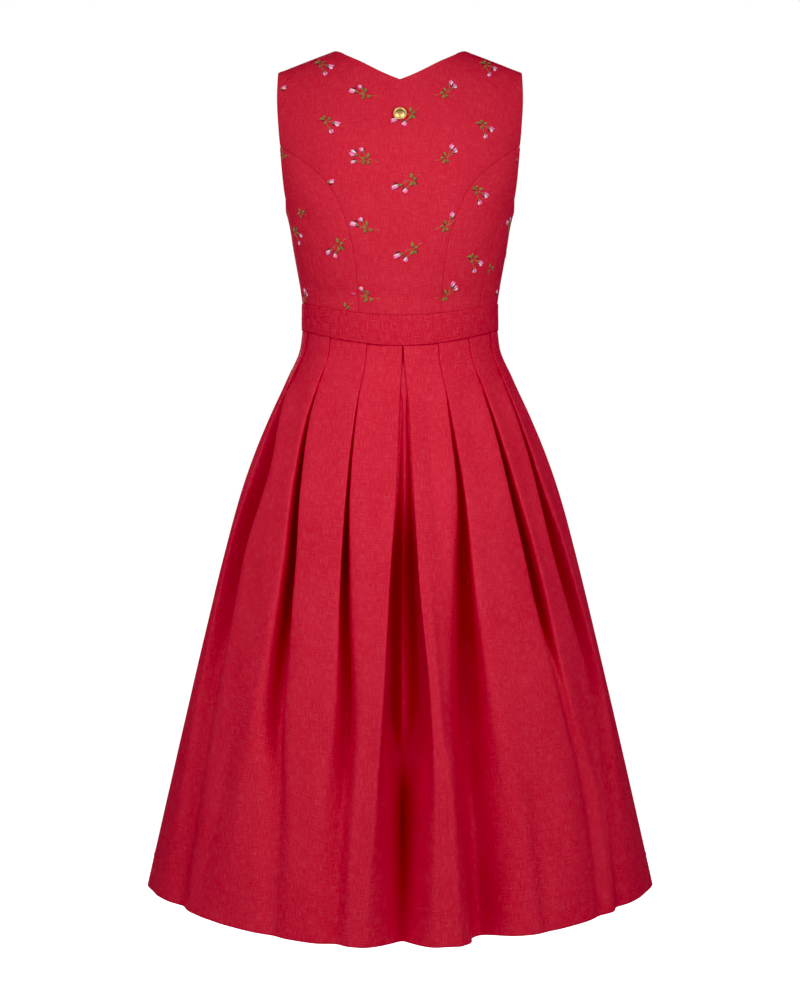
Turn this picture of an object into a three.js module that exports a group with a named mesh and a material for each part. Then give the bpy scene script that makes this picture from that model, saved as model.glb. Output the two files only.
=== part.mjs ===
// A sleeveless linen dirndl, worn shape, empty inside. Millimetres, +Z up.
// The origin is the middle of the shoulder line, where the wearer holds the dress up.
// The wearer faces -Y, +X is the wearer's left, and the back of the dress is +Y.
//
// A point of the cloth is placed by two numbers: an angle round the body
// (0 = wearer's left side, 90 = middle of the back, -90 = middle of the front) and a height.
// Every panel is a wall of real thickness cut from that one form, with a small gap at each seam.
import * as THREE from 'three';

// ---------------------------------------------------------------- cloth and seams
const SEAM_GAP = 0.3;
const WAIST_GAP = 0.55; // above and below the band, whose edges are straight between its points
const BODICE_CLOTH = 2.0; // linen with its interlining
const SKIRT_CLOTH = 1.2; // one layer of linen
const BAND_CLOTH = 3.0; // folded band
const HEM_CLOTH = 2.2; // the hem is turned up once

// ---------------------------------------------------------------- the body form above the waist
// half_width is sideways; back and front are the depths; square is the power of the superellipse.
const BODY_SECTIONS = [
  { height: -400, half_width: 124.0, back: 97, front: 97, square: 2.0 },
  { height: -322, half_width: 124.0, back: 97, front: 98, square: 2.0 },
  { height: -302, half_width: 126.4, back: 100, front: 105, square: 2.1 },
  { height: -277, half_width: 130.8, back: 104, front: 117, square: 2.2 },
  { height: -252, half_width: 135.3, back: 107, front: 127, square: 2.3 },
  { height: -226, half_width: 139.4, back: 110, front: 131, square: 2.4 },
  { height: -200, half_width: 145.5, back: 111, front: 126, square: 2.4 },
  { height: -175, half_width: 151.5, back: 111, front: 118, square: 2.4 },
  { height: -126, half_width: 158.5, back: 107, front: 107, square: 2.4 },
  { height: -60, half_width: 169.0, back: 96, front: 97, square: 2.4 },
  { height: 30, half_width: 180.0, back: 86, front: 88, square: 2.4 },
];
// The shoulder line slopes from the neck to the tip, and the form closes over it as an arch.
const NECK_HALF = 84;
const SHOULDER_TIP = 154.5;
const SHOULDER_DROP = 27;
const ARCH_HEIGHT = 170;
const NAPE_ROUND = 40; // rounds the form off where the two shoulder slopes would meet

// ---------------------------------------------------------------- waist, band and skirt heights
const BAND_TOP = { side: -320.0, back_dip: 20.4, front_dip: 7 };
const BAND_BOTTOM = { side: -354.4, back_dip: 23.6, front_dip: 9 };
const HEM = { side: -1052.0, back_dip: 39.6, front_dip: 30 };
const BAND_HALF_WIDTH = 124.8;
const BAND_HALF_DEPTH = 97.8;
const FRONT_LAP = 12; // the right front laps this far past the middle
const LAP_RISE = { from: -48, to: -24 }; // where it climbs onto the left front
const LAP_GAP = 1.1; // between the two layers of the closing

// ---------------------------------------------------------------- seams and edges of the bodice
// x is measured from the middle, on the wearer's left; the right is its mirror.
const BACK_PRINCESS = [
  { height: -360, x: 51.0 },
  { height: -300, x: 53.5 },
  { height: -261, x: 58.4 },
  { height: -233, x: 65.1 },
  { height: -204, x: 75.5 },
  { height: -176, x: 92.3 },
  { height: -147, x: 122.6 },
  { height: -126, x: 150.5 },
];
const BACK_ARMHOLE = [
  { height: -126, x: 150.5 },
  { height: -105, x: 152.5 },
  { height: -60, x: 155.0 },
  { height: -SHOULDER_DROP, x: SHOULDER_TIP },
];
const FRONT_PRINCESS = [
  { height: -360, x: 50 },
  { height: -322, x: 53 },
  { height: -285, x: 61 },
  { height: -245, x: 75 },
  { height: -205, x: 95 },
  { height: -170, x: 117 },
  { height: -138, x: 142 },
];
const FRONT_ARMHOLE = [
  { height: -138, x: 142 },
  { height: -100, x: 142 },
  { height: -60, x: 147 },
  { height: -SHOULDER_DROP, x: SHOULDER_TIP },
];
const SIDE_SEAM = [
  { height: -350, angle: 36 },
  { height: -290, angle: 35 },
  { height: -250, angle: 33 },
  { height: -226, angle: 29 },
  { height: -208, angle: 21 },
  { height: -190, angle: 14 },
];
// The low part of the armhole, from the back princess seam under the arm to the front one.
const UNDERARM = [
  { along: 0.0, angle: 19.4, height: -126 },
  { along: 0.14, angle: 18.0, height: -150 },
  { along: 0.28, angle: 16.4, height: -175 },
  { along: 0.38, angle: 14.0, height: -190 },
  { along: 0.47, angle: 8.0, height: -200 },
  { along: 0.56, angle: 0.0, height: -205 },
  { along: 0.67, angle: -10.0, height: -203 },
  { along: 0.78, angle: -19.0, height: -192 },
  { along: 0.88, angle: -24.5, height: -170 },
  { along: 1.0, angle: -27.0, height: -138 },
];
const SIDE_SEAM_ALONG = 0.38;
const BACK_NECK = [
  { x: 0, height: -46.5 },
  { x: 12, height: -41.4 },
  { x: 25, height: -34.8 },
  { x: 50, height: -19.9 },
  { x: 67, height: -10.2 },
  { x: 76, height: -3.8 },
  { x: NECK_HALF, height: 0 },
];
const FRONT_NECK = [
  { along: 0.0, x: -FRONT_LAP, height: -172 },
  { along: 0.17, x: 14, height: -163 },
  { along: 0.34, x: 38, height: -132 },
  { along: 0.5, x: 56, height: -96 },
  { along: 0.67, x: 69, height: -58 },
  { along: 0.84, x: 79, height: -19 },
  { along: 1.0, x: NECK_HALF, height: 0 },
];

// ---------------------------------------------------------------- the skirt
// down runs from 0 under the band to 1 at the hem.
const SKIRT_FORM = [
  { down: 0.0, half_width: 124.0 },
  { down: 0.03, half_width: 126.5 },
  { down: 0.09, half_width: 144.5 },
  { down: 0.16, half_width: 167.0 },
  { down: 0.23, half_width: 187.0 },
  { down: 0.3, half_width: 203.5 },
  { down: 0.4, half_width: 222.5 },
  { down: 0.55, half_width: 248.0 },
  { down: 0.75, half_width: 280.5 },
  { down: 1.0, half_width: 320.0 },
];
const SKIRT_DEPTH_RATIO = 0.782;
const SKIRT_ROWS = [0, 0.04, 0.1, 0.17, 0.22, 0.29, 0.4, 0.56, 0.77, 1];
const THIGH = 0.4; // the height, as a part of the skirt, where the pleats are deepest
const RELEASE = 0.17; // the height where a pleat stops lying over the next and starts to open
const LAP = 14; // how far it lies over the next at the waist
const STACK = 4.2; // depth of its three layers at the waist

// One row for each fold, round from the wearer's left side over the back to the right side and on
// over the front. waist, thigh and hem are the angles of the fold's edge; facing is the way the
// edge points round the skirt; gape is the mouth of the groove beside it; deep is the groove's depth.
const PLEATS = {
  skirt_back: [
    { waist: 20.0, thigh: 25.0, hem: 27.0, facing: 1, gape: 30, gape_hem: 45, deep: 17, deep_hem: 6 },
    { waist: 45.0, thigh: 48.6, hem: 47.0, facing: 1, gape: 24, gape_hem: 58, deep: 24, deep_hem: 8 },
    { waist: 70.7, thigh: 70.5, hem: 71.5, facing: 1, gape: 15, gape_hem: 50, deep: 15, deep_hem: 9 },
    { waist: 91.3, thigh: 87.0, hem: 82.5, facing: 1, gape: 18, gape_hem: 42, deep: 26, deep_hem: 30 },
    { waist: 92.3, thigh: 99.6, hem: 104.0, facing: -1, gape: 27, gape_hem: 52, deep: 22, deep_hem: 30 },
    { waist: 113.0, thigh: 115.4, hem: 115.5, facing: -1, gape: 30, gape_hem: 48, deep: 17, deep_hem: 20 },
    { waist: 135.2, thigh: 142.6, hem: 141.5, facing: -1, gape: 27, gape_hem: 46, deep: 24, deep_hem: 8 },
    { waist: 158.0, thigh: 156.0, hem: 158.0, facing: -1, gape: 24, gape_hem: 40, deep: 17, deep_hem: 6 },
  ],
  skirt_front_right: [
    { waist: 187.0, thigh: 190.0, hem: 191.0, facing: 1, gape: 24, gape_hem: 44, deep: 17, deep_hem: 8 },
    { waist: 209.0, thigh: 209.0, hem: 210.0, facing: 1, gape: 24, gape_hem: 50, deep: 22, deep_hem: 12 },
    { waist: 231.0, thigh: 229.0, hem: 227.0, facing: 1, gape: 26, gape_hem: 46, deep: 18, deep_hem: 9 },
    { waist: 253.0, thigh: 250.0, hem: 248.5, facing: 1, gape: 22, gape_hem: 52, deep: 23, deep_hem: 18 },
  ],
  skirt_front_left: [
    { waist: 287.0, thigh: 291.0, hem: 293.0, facing: -1, gape: 23, gape_hem: 56, deep: 20, deep_hem: 14 },
    { waist: 309.0, thigh: 311.0, hem: 312.0, facing: -1, gape: 25, gape_hem: 48, deep: 23, deep_hem: 10 },
    { waist: 331.0, thigh: 332.0, hem: 331.0, facing: -1, gape: 18, gape_hem: 44, deep: 18, deep_hem: 12 },
    { waist: 353.0, thigh: 351.0, hem: 349.0, facing: -1, gape: 24, gape_hem: 42, deep: 17, deep_hem: 7 },
  ],
};
const SKIRT_SEAMS = {
  skirt_back: { from: 7, to: 173, from_hem: 8, to_hem: 174 },
  skirt_front_right: { from: 173, to: 270, from_hem: 174, to_hem: 270 },
  skirt_front_left: { from: 270, to: 367, from_hem: 270, to_hem: 368 },
};
// The four corners of a fold: lapped shut at the waist, and open as a groove lower down.
// across is a part of the gape, sunk a part of the depth.
const FOLD_CORNERS = [
  { shut_across: 0, shut_sunk: 0.0, open_across: 0.0, open_sunk: 0.0 },
  { shut_across: 0, shut_sunk: 0.4, open_across: 0.28, open_sunk: 0.72 },
  { shut_across: 1, shut_sunk: 0.6, open_across: 0.58, open_sunk: 1.0 },
  { shut_across: 1, shut_sunk: 1.0, open_across: 1.0, open_sunk: 0.74 },
];
const FACE_POINTS = 3; // points across the flat of each pleat
const FACE_SAG = 3; // the flat hangs this far inside its ridge

// ---------------------------------------------------------------- buttons and stud
const BUTTON_RADIUS = 7.5;
const BUTTON_THICK = 4;
const FRONT_BUTTONS = [-188, -217, -246, -275, -304];
const BAND_BUTTON = -347;
const BUTTON_THREAD = 1.0; // a button stands this far off the cloth on its thread
const STUD_RADIUS = 8.5;
const STUD_THICK = 3.2;
const STUD_HEIGHT = -92.5;

// ---------------------------------------------------------------- finishes
const linen = (name, color) =>
  new THREE.MeshStandardMaterial({ name, color, roughness: 0.85, metalness: 0 });
const BODICE_RED = linen('bodice_linen', 0xb8142b);
const SKIRT_RED = linen('skirt_linen', 0xb3122a);
const BAND_RED = linen('band_linen', 0xb4132a);
const BUTTON_RED = new THREE.MeshStandardMaterial({
  name: 'covered_button', color: 0xa81027, roughness: 0.75, metalness: 0,
});
const GOLD = new THREE.MeshStandardMaterial({
  name: 'gold_metal', color: 0xc9a25a, roughness: 0.3, metalness: 1,
});

// ================================================================ helpers
const radians = THREE.MathUtils.degToRad;
const mix = THREE.MathUtils.lerp;

// Reads one column of a table between its rows, on a smooth curve that never overshoots.
function read(rows, key, at, column) {
  const last = rows.length - 1;
  const rising = rows[last][key] > rows[0][key];
  const passed = (row) => (rising ? row[key] <= at : row[key] >= at);
  let i = 0;
  while (i < last - 1 && passed(rows[i + 1])) i += 1;
  const step = (k) => rows[k + 1][key] - rows[k][key];
  const slope = (k) => (rows[k + 1][column] - rows[k][column]) / step(k);
  const tangent = (k) => {
    if (k === 0) return slope(0);
    if (k === last) return slope(last - 1);
    const before = slope(k - 1);
    const after = slope(k);
    return before * after <= 0 ? 0 : (2 * before * after) / (before + after);
  };
  const t = THREE.MathUtils.clamp((at - rows[i][key]) / step(i), 0, 1);
  const a = rows[i][column];
  const b = rows[i + 1][column];
  const ta = tangent(i) * step(i);
  const tb = tangent(i + 1) * step(i);
  return a + t * (ta + t * (3 * (b - a) - 2 * ta - tb + t * (ta + tb - 2 * (b - a))));
}

// A power that keeps its sign, as a superellipse needs.
const signedPower = (value, power) => Math.sign(value) * Math.abs(value) ** power;

// Heights of the waist lines and the hem, which dip towards the middle of the back and front.
function edgeHeight(line, angle) {
  const s = Math.sin(angle);
  return line.side - (s > 0 ? line.back_dip : line.front_dip) * s * s;
}

// The shoulder line falls from the neck point to the tip, rounded off over the nape.
const SHOULDER_SLOPE =
  SHOULDER_DROP / (Math.hypot(SHOULDER_TIP, NAPE_ROUND) - Math.hypot(NECK_HALF, NAPE_ROUND));
const shoulderHeight = (x) =>
  -SHOULDER_SLOPE * (Math.hypot(x, NAPE_ROUND) - Math.hypot(NECK_HALF, NAPE_ROUND));

// The body form: a superellipse at each height, closed over the shoulders by a quarter-round arch.
function bodyForm(angle, height) {
  const c = Math.cos(angle);
  const s = Math.sin(angle);
  const side = s > 0 ? 'back' : 'front';
  const width = read(BODY_SECTIONS, 'height', height, 'half_width');
  const depth = read(BODY_SECTIONS, 'height', height, side);
  const square = read(BODY_SECTIONS, 'height', height, 'square');
  const x = width * signedPower(c, 2 / square);
  const below = THREE.MathUtils.clamp((shoulderHeight(x) - height) / ARCH_HEIGHT, 0, 1);
  const arch = Math.sqrt(1 - (1 - below) ** 2);
  return { c, s, side, width, depth, square, x, below, arch };
}

function bodyPoint(angle, height) {
  const { s, depth, square, x, arch } = bodyForm(angle, height);
  const apart = (Math.sign(s) * SEAM_GAP * (1 - arch)) / 2;
  return new THREE.Vector3(x, depth * signedPower(s, 2 / square) * arch + apart, height);
}

// The way out from the body form: the slope of (x / width)^n + (y / depth arch)^n, times arch
// squared, which keeps it finite on the shoulder line.
function bodyOut(angle, height) {
  const { c, s, side, width, depth, square, x, below, arch } = bodyForm(angle, height);
  const growth = (column, value) =>
    (read(BODY_SECTIONS, 'height', height + 1, column)
      - read(BODY_SECTIONS, 'height', height - 1, column)) / (2 * value);
  const closing = (s * s * (1 - below)) / ARCH_HEIGHT;
  const fall = (-SHOULDER_SLOPE * x) / Math.hypot(x, NAPE_ROUND);
  const widening = c * c * growth('half_width', width) + s * s * growth(side, depth);
  return new THREE.Vector3(
    (arch * arch * signedPower(c, 2 - 2 / square)) / width - closing * fall,
    (arch * signedPower(s, 2 - 2 / square)) / depth,
    closing - arch * arch * widening,
  ).normalize();
}

// The angle on the body form of a point at a known height and distance from the middle.
function angleAt(x, height, side) {
  const width = read(BODY_SECTIONS, 'height', height, 'half_width');
  const square = read(BODY_SECTIONS, 'height', height, 'square');
  const left = Math.acos(Math.min(Math.abs(x) / width, 1) ** (square / 2));
  const angle = x < 0 ? Math.PI - left : left;
  return side * angle;
}
const BACK = 1;
const FRONT = -1;
const onBody = (x, height, side) => ({ angle: angleAt(x, height, side), height });
const mirrored = (p) => ({ angle: Math.PI - p.angle, height: p.height });

// A closed wall between an outer and an inner grid of points, grid[column][row].
// It has a rim along each of its four edges, and its faces are turned outwards at the end.
function closedWall(name, material, outer, inner) {
  const columns = outer.length;
  const rows = outer[0].length;
  const positions = [];
  for (const grid of [outer, inner]) {
    for (const line of grid) {
      for (const p of line) positions.push(p.x, p.y, p.z);
    }
  }
  const at = (sheet, i, j) => (sheet * columns + i) * rows + j;
  const index = [];
  const quad = (a, b, c, d) => index.push(a, b, c, a, c, d);
  for (let i = 0; i < columns - 1; i += 1) {
    for (let j = 0; j < rows - 1; j += 1) {
      quad(at(0, i, j), at(0, i + 1, j), at(0, i + 1, j + 1), at(0, i, j + 1));
      quad(at(1, i, j), at(1, i, j + 1), at(1, i + 1, j + 1), at(1, i + 1, j));
    }
    quad(at(0, i, 0), at(1, i, 0), at(1, i + 1, 0), at(0, i + 1, 0));
    quad(at(0, i, rows - 1), at(0, i + 1, rows - 1), at(1, i + 1, rows - 1), at(1, i, rows - 1));
  }
  for (let j = 0; j < rows - 1; j += 1) {
    const end = columns - 1;
    quad(at(0, 0, j), at(0, 0, j + 1), at(1, 0, j + 1), at(1, 0, j));
    quad(at(0, end, j), at(1, end, j), at(1, end, j + 1), at(0, end, j + 1));
  }
  if (signedVolume(positions, index) < 0) index.reverse();
  const geometry = new THREE.BufferGeometry();
  geometry.setAttribute('position', new THREE.Float32BufferAttribute(positions, 3));
  geometry.setIndex(index);
  geometry.computeVertexNormals();
  const mesh = new THREE.Mesh(geometry, material);
  mesh.name = name;
  return mesh;
}

function signedVolume(positions, index) {
  const corner = (k) => new THREE.Vector3().fromArray(positions, 3 * k);
  let six = 0;
  for (let k = 0; k < index.length; k += 3) {
    six += corner(index[k]).dot(corner(index[k + 1]).cross(corner(index[k + 2])));
  }
  return six;
}

// ================================================================ bodice
// Fills in a panel between its four edges: left and right run up it, bottom and top across.
function filledIn({ left, right, bottom, top, rise }) {
  const bulge = (line, u) => {
    const a = line(0);
    const b = line(1);
    const p = line(u);
    return {
      angle: p.angle - mix(a.angle, b.angle, u),
      height: p.height - mix(a.height, b.height, u),
    };
  };
  return (u, r) => {
    const a = left(r);
    const b = right(r);
    const low = bulge(bottom, u);
    const high = bulge(top, u);
    const h = rise(r);
    return {
      angle: mix(a.angle, b.angle, u) + (1 - h) * low.angle + h * high.angle,
      height: mix(a.height, b.height, u) + (1 - h) * low.height + h * high.height,
    };
  };
}

// A bodice panel: its cut lies on the body form, moved out by lift, the inner face a cloth below.
// seams lists the sides that are sewn; there the edge is trimmed by half the seam gap.
function bodicePanel(name, { cut, columns, rows, seams, lift = () => 0 }) {
  const places = columns.map((u) => rows.map((r) => cut(u, r)));
  const points = places.map((line) => line.map((p) => bodyPoint(p.angle, p.height)));
  const outs = places.map((line) => line.map((p) => bodyOut(p.angle, p.height)));
  for (const side of seams) {
    const edge = side === 'left' ? 0 : columns.length - 1;
    const next = side === 'left' ? 1 : columns.length - 2;
    const line = points[edge].map((p) => p.clone());
    line.forEach((p, j) => {
      const along = line[Math.min(j + 1, line.length - 1)].clone().sub(line[Math.max(j - 1, 0)]);
      const inwards = along.cross(outs[edge][j]).normalize();
      const towards = Math.sign(inwards.dot(points[next][j].clone().sub(p)));
      points[edge][j].addScaledVector(inwards, (towards * SEAM_GAP) / 2);
    });
  }
  const sheet = (depth) =>
    points.map((line, i) => line.map((p, j) => p.clone().addScaledVector(outs[i][j], lift(p.x) - depth)));
  return closedWall(name, BODICE_RED, sheet(0), sheet(BODICE_CLOTH));
}

const evenly = (count) => Array.from({ length: count + 1 }, (_, i) => i / count);

// Up a princess seam, more closely where it turns into the armhole, then up the armhole itself.
const SEAM_ROWS = 8;
const ARMHOLE_ROWS = 6;
const NOTCH = SEAM_ROWS / (SEAM_ROWS + ARMHOLE_ROWS);
const towardsEnd = (t, power) => 1 - (1 - t) ** power;

function princess(table, side) {
  const topRow = table[table.length - 1];
  const foot = waistPoint(read(table, 'height', BAND_TOP.side, 'x'), side);
  return (m) => {
    const height = mix(foot.height, topRow.height, towardsEnd(m, 1.35));
    return onBody(read(table, 'height', height, 'x'), height, side);
  };
}

function armhole(table, side) {
  return (m) => {
    const height = mix(table[0].height, -SHOULDER_DROP, towardsEnd(m, 2));
    return onBody(read(table, 'height', height, 'x'), height, side);
  };
}

// The lower edge of the bodice, which rests on the band.
function waistPoint(x, side) {
  let height = BAND_TOP.side + WAIST_GAP;
  for (let pass = 0; pass < 4; pass += 1) {
    height = edgeHeight(BAND_TOP, angleAt(x, height, side)) + WAIST_GAP;
  }
  return onBody(x, height, side);
}
const waistAt = (angle) => ({ angle, height: edgeHeight(BAND_TOP, angle) + WAIST_GAP });

const joined = (low, high) => (r) => (r <= NOTCH ? low(r / NOTCH) : high((r - NOTCH) / (1 - NOTCH)));
const riseAlong = (edge) => (r) =>
  (edge(r).height - edge(0).height) / (edge(1).height - edge(0).height);

const backPrincess = princess(BACK_PRINCESS, BACK);
const frontPrincess = princess(FRONT_PRINCESS, FRONT);
const backEdge = joined(backPrincess, armhole(BACK_ARMHOLE, BACK));
const frontEdge = joined(frontPrincess, armhole(FRONT_ARMHOLE, FRONT));

function sideSeam(m) {
  const foot = waistAt(radians(SIDE_SEAM[0].angle));
  const height = mix(foot.height, SIDE_SEAM[SIDE_SEAM.length - 1].height, m);
  return { angle: radians(read(SIDE_SEAM, 'height', height, 'angle')), height };
}

function underarm(along) {
  if (along === 0) return backPrincess(1);
  if (along === 1) return frontPrincess(1);
  return {
    angle: radians(read(UNDERARM, 'along', along, 'angle')),
    height: read(UNDERARM, 'along', along, 'height'),
  };
}

// The top edge of the back: along the shoulder to the neck point, then down to the middle.
function shoulderAndNape(u) {
  const shoulderPart = 0.44;
  if (u < shoulderPart) {
    const x = mix(SHOULDER_TIP, NECK_HALF, u / shoulderPart);
    return onBody(x, shoulderHeight(x), BACK);
  }
  const x = mix(NECK_HALF, 0, (u - shoulderPart) / (1 - shoulderPart));
  return onBody(x, read(BACK_NECK, 'x', x, 'height'), BACK);
}

function backCentre() {
  const right = (r) => mirrored(backEdge(r));
  return bodicePanel('back_centre', {
    cut: filledIn({
      left: backEdge,
      right,
      bottom: (u) => waistAt(mix(backEdge(0).angle, right(0).angle, u)),
      top: (u) => (u <= 0.5 ? shoulderAndNape(2 * u) : mirrored(shoulderAndNape(2 - 2 * u))),
      rise: riseAlong(backEdge),
    }),
    columns: [0, 0.06, 0.12, 0.175, 0.22, 0.27, 0.32, 0.38, 0.44, 0.5, 0.56, 0.62, 0.68, 0.73, 0.78,
      0.825, 0.88, 0.94, 1],
    rows: evenly(SEAM_ROWS + ARMHOLE_ROWS),
    seams: ['left', 'right'],
  });
}

// Side panels are made on the wearer's left; hand is -1 for the right.
const onHand = (hand, p) => (hand > 0 ? p : mirrored(p));

function sidePanel(name, hand, { left, right, from, to, across }) {
  const cut = filledIn({
    left,
    right,
    bottom: (u) => waistAt(mix(left(0).angle, right(0).angle, u)),
    top: (u) => underarm(mix(from, to, u)),
    rise: (r) => r,
  });
  return bodicePanel(name, {
    cut: (u, r) => onHand(hand, cut(u, r)),
    columns: evenly(across),
    rows: evenly(SEAM_ROWS),
    seams: ['left', 'right'],
  });
}

const backSide = (name, hand) => sidePanel(name, hand, {
  left: sideSeam, right: backPrincess, from: SIDE_SEAM_ALONG, to: 0, across: 5,
});
const frontSide = (name, hand) => sidePanel(name, hand, {
  left: frontPrincess, right: sideSeam, from: 1, to: SIDE_SEAM_ALONG, across: 9,
});

// The edge from the waist up the closing and on along the neckline to the neck point.
function closingAndNeck(r) {
  if (r <= NOTCH) {
    const height = mix(waistPoint(-FRONT_LAP, FRONT).height, FRONT_NECK[0].height, r / NOTCH);
    return onBody(-FRONT_LAP, height, FRONT);
  }
  const along = (r - NOTCH) / (1 - NOTCH);
  const x = read(FRONT_NECK, 'along', along, 'x');
  const height = along === 1 ? shoulderHeight(x) : read(FRONT_NECK, 'along', along, 'height');
  return onBody(x, height, FRONT);
}

// The middle fronts reach past the middle: the left one runs under the closing, and the right one
// climbs onto it.
function frontCentre(name, hand) {
  const cut = filledIn({
    left: frontEdge,
    right: closingAndNeck,
    bottom: (u) => waistAt(mix(frontEdge(0).angle, closingAndNeck(0).angle, u)),
    top: (u) => {
      const x = mix(SHOULDER_TIP, NECK_HALF, u);
      return onBody(x, shoulderHeight(x), FRONT);
    },
    rise: (r) => r,
  });
  const climb = (x) =>
    THREE.MathUtils.smoothstep(x, LAP_RISE.from, LAP_RISE.to) * (BODICE_CLOTH + LAP_GAP);
  return bodicePanel(name, {
    cut: (u, r) => onHand(hand, cut(u, r)),
    columns: [0, 0.12, 0.25, 0.38, 0.5, 0.62, 0.73, 0.84, 0.92, 1],
    rows: evenly(SEAM_ROWS + ARMHOLE_ROWS),
    seams: ['left'],
    lift: hand < 0 ? climb : undefined,
  });
}

// ================================================================ waistband
// One strip round the waist. It starts under the closing and ends lapped over its own start.
function waistband() {
  const reach = Math.asin(FRONT_LAP / BAND_HALF_WIDTH);
  const start = -Math.PI / 2 - reach;
  const end = (3 * Math.PI) / 2 + reach;
  const steps = 56;
  const outer = [];
  const inner = [];
  for (const u of evenly(steps)) {
    const angle = mix(start, end, u);
    const ease = THREE.MathUtils.smoothstep(angle, end - 2 * reach - 0.15, end - 2 * reach - 0.02);
    const lifted = ease * (BAND_CLOTH + LAP_GAP);
    const ringPoint = (sunk, height) => {
      const out = new THREE.Vector3(
        Math.cos(angle) / BAND_HALF_WIDTH, Math.sin(angle) / BAND_HALF_DEPTH, 0,
      ).normalize();
      return new THREE.Vector3(
        BAND_HALF_WIDTH * Math.cos(angle), BAND_HALF_DEPTH * Math.sin(angle), height,
      ).addScaledVector(out, lifted - sunk);
    };
    const low = edgeHeight(BAND_BOTTOM, angle);
    const high = edgeHeight(BAND_TOP, angle);
    outer.push([ringPoint(0, low), ringPoint(0, high)]);
    inner.push([ringPoint(BAND_CLOTH, low), ringPoint(BAND_CLOTH, high)]);
  }
  return closedWall('waistband', BAND_RED, outer, inner);
}

// ================================================================ skirt
const skirtHalfWidth = (down) => read(SKIRT_FORM, 'down', down, 'half_width');

// The way out from the oval of the skirt, level.
const skirtOut = (angle) =>
  new THREE.Vector3(SKIRT_DEPTH_RATIO * Math.cos(angle), Math.sin(angle), 0).normalize();

// A point of the skirt: on the flaring oval, sunk inwards, at its own height.
function skirtPoint(angle, down, sunk) {
  const a = skirtHalfWidth(down) - SKIRT_CLOTH / 2;
  const b = SKIRT_DEPTH_RATIO * a;
  const top = edgeHeight(BAND_BOTTOM, angle) - WAIST_GAP;
  const height = mix(top, edgeHeight(HEM, angle), down);
  return new THREE.Vector3(a * Math.cos(angle), b * Math.sin(angle), height)
    .addScaledVector(skirtOut(angle), -sunk);
}

// Values of a fold at one height, from its waist, thigh and hem columns.
function threeStage(atWaist, atThigh, atHem, down) {
  const rows = [
    { down: 0, value: atWaist },
    { down: THIGH, value: atThigh },
    { down: 1, value: atHem },
  ];
  return read(rows, 'down', down, 'value');
}

// The mouth of a fold: less than nothing while it lies over the next pleat.
function mouth(pleat, down) {
  const rows = [
    { down: 0, value: -LAP },
    { down: RELEASE, value: 0 },
    { down: THIGH, value: pleat.gape },
    { down: 1, value: pleat.gape_hem },
  ];
  return read(rows, 'down', down, 'value');
}

// The four corners of one fold, in order of angle round the skirt.
function foldCorners(pleat, down) {
  const edge = radians(threeStage(pleat.waist, pleat.thigh, pleat.hem, down));
  const gape = mouth(pleat, down);
  const deep = threeStage(STACK, pleat.deep, pleat.deep_hem, down);
  const open = THREE.MathUtils.smoothstep(gape, -4, 14);
  const a = skirtHalfWidth(down);
  const perRadian = Math.hypot(a * Math.sin(edge), SKIRT_DEPTH_RATIO * a * Math.cos(edge));
  const corners = FOLD_CORNERS.map((c) => ({
    angle: edge + (pleat.facing * gape * mix(c.shut_across, c.open_across, open)) / perRadian,
    sunk: deep * mix(c.shut_sunk, c.open_sunk, open),
    open,
  }));
  return pleat.facing > 0 ? corners : corners.reverse();
}

// The flat of a pleat between two folds: straight where it is shut or narrow, and where open it
// climbs out of the groove quickly and hangs a little inside the ridge.
function facePoints(from, to, count) {
  const wide = THREE.MathUtils.smoothstep(to.angle - from.angle, radians(2), radians(10));
  const open = wide * Math.max(from.open, to.open);
  const power = mix(1, 3, open);
  const points = [];
  for (let i = 1; i <= count; i += 1) {
    const f = i / (count + 1);
    const sunk = from.sunk * (1 - f) ** power + to.sunk * f ** power;
    points.push({
      angle: mix(from.angle, to.angle, f),
      sunk: sunk + FACE_SAG * open * Math.sin(Math.PI * f) ** 2,
    });
  }
  return points;
}

function skirtSection(name, down) {
  const seams = SKIRT_SEAMS[name];
  const a = skirtHalfWidth(down);
  const seamPoint = (degrees, towards) => {
    const angle = radians(degrees);
    const perRadian = Math.hypot(a * Math.sin(angle), SKIRT_DEPTH_RATIO * a * Math.cos(angle));
    return { angle: angle + (towards * SEAM_GAP) / 2 / perRadian, sunk: 0, open: 0 };
  };
  const points = [seamPoint(mix(seams.from, seams.from_hem, down), 1)];
  for (const pleat of PLEATS[name]) {
    const corners = foldCorners(pleat, down);
    const before = points[points.length - 1];
    points.push(...facePoints(before, corners[0], FACE_POINTS), ...corners);
  }
  const last = seamPoint(mix(seams.to, seams.to_hem, down), -1);
  points.push(...facePoints(points[points.length - 1], last, FACE_POINTS), last);
  return points;
}

// Moves the line of a section to one side, level, with mitred corners. At both seams it moves
// straight out from the oval, so that neighbouring panels meet wall to wall.
function offsetLine(section, line, distance) {
  const end = line.length - 1;
  const normals = [];
  for (let i = 0; i < end; i += 1) {
    const d = line[i + 1].clone().sub(line[i]).setZ(0).normalize();
    normals.push(new THREE.Vector3(d.y, -d.x, 0));
  }
  return line.map((p, i) => {
    if (i === 0 || i === end) return p.clone().addScaledVector(skirtOut(section[i].angle), distance);
    const a = normals[i - 1];
    const b = normals[i];
    const mitre = a.clone().add(b).divideScalar(Math.max(1 + a.dot(b), 0.6));
    return p.clone().addScaledVector(mitre, distance);
  });
}

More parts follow.
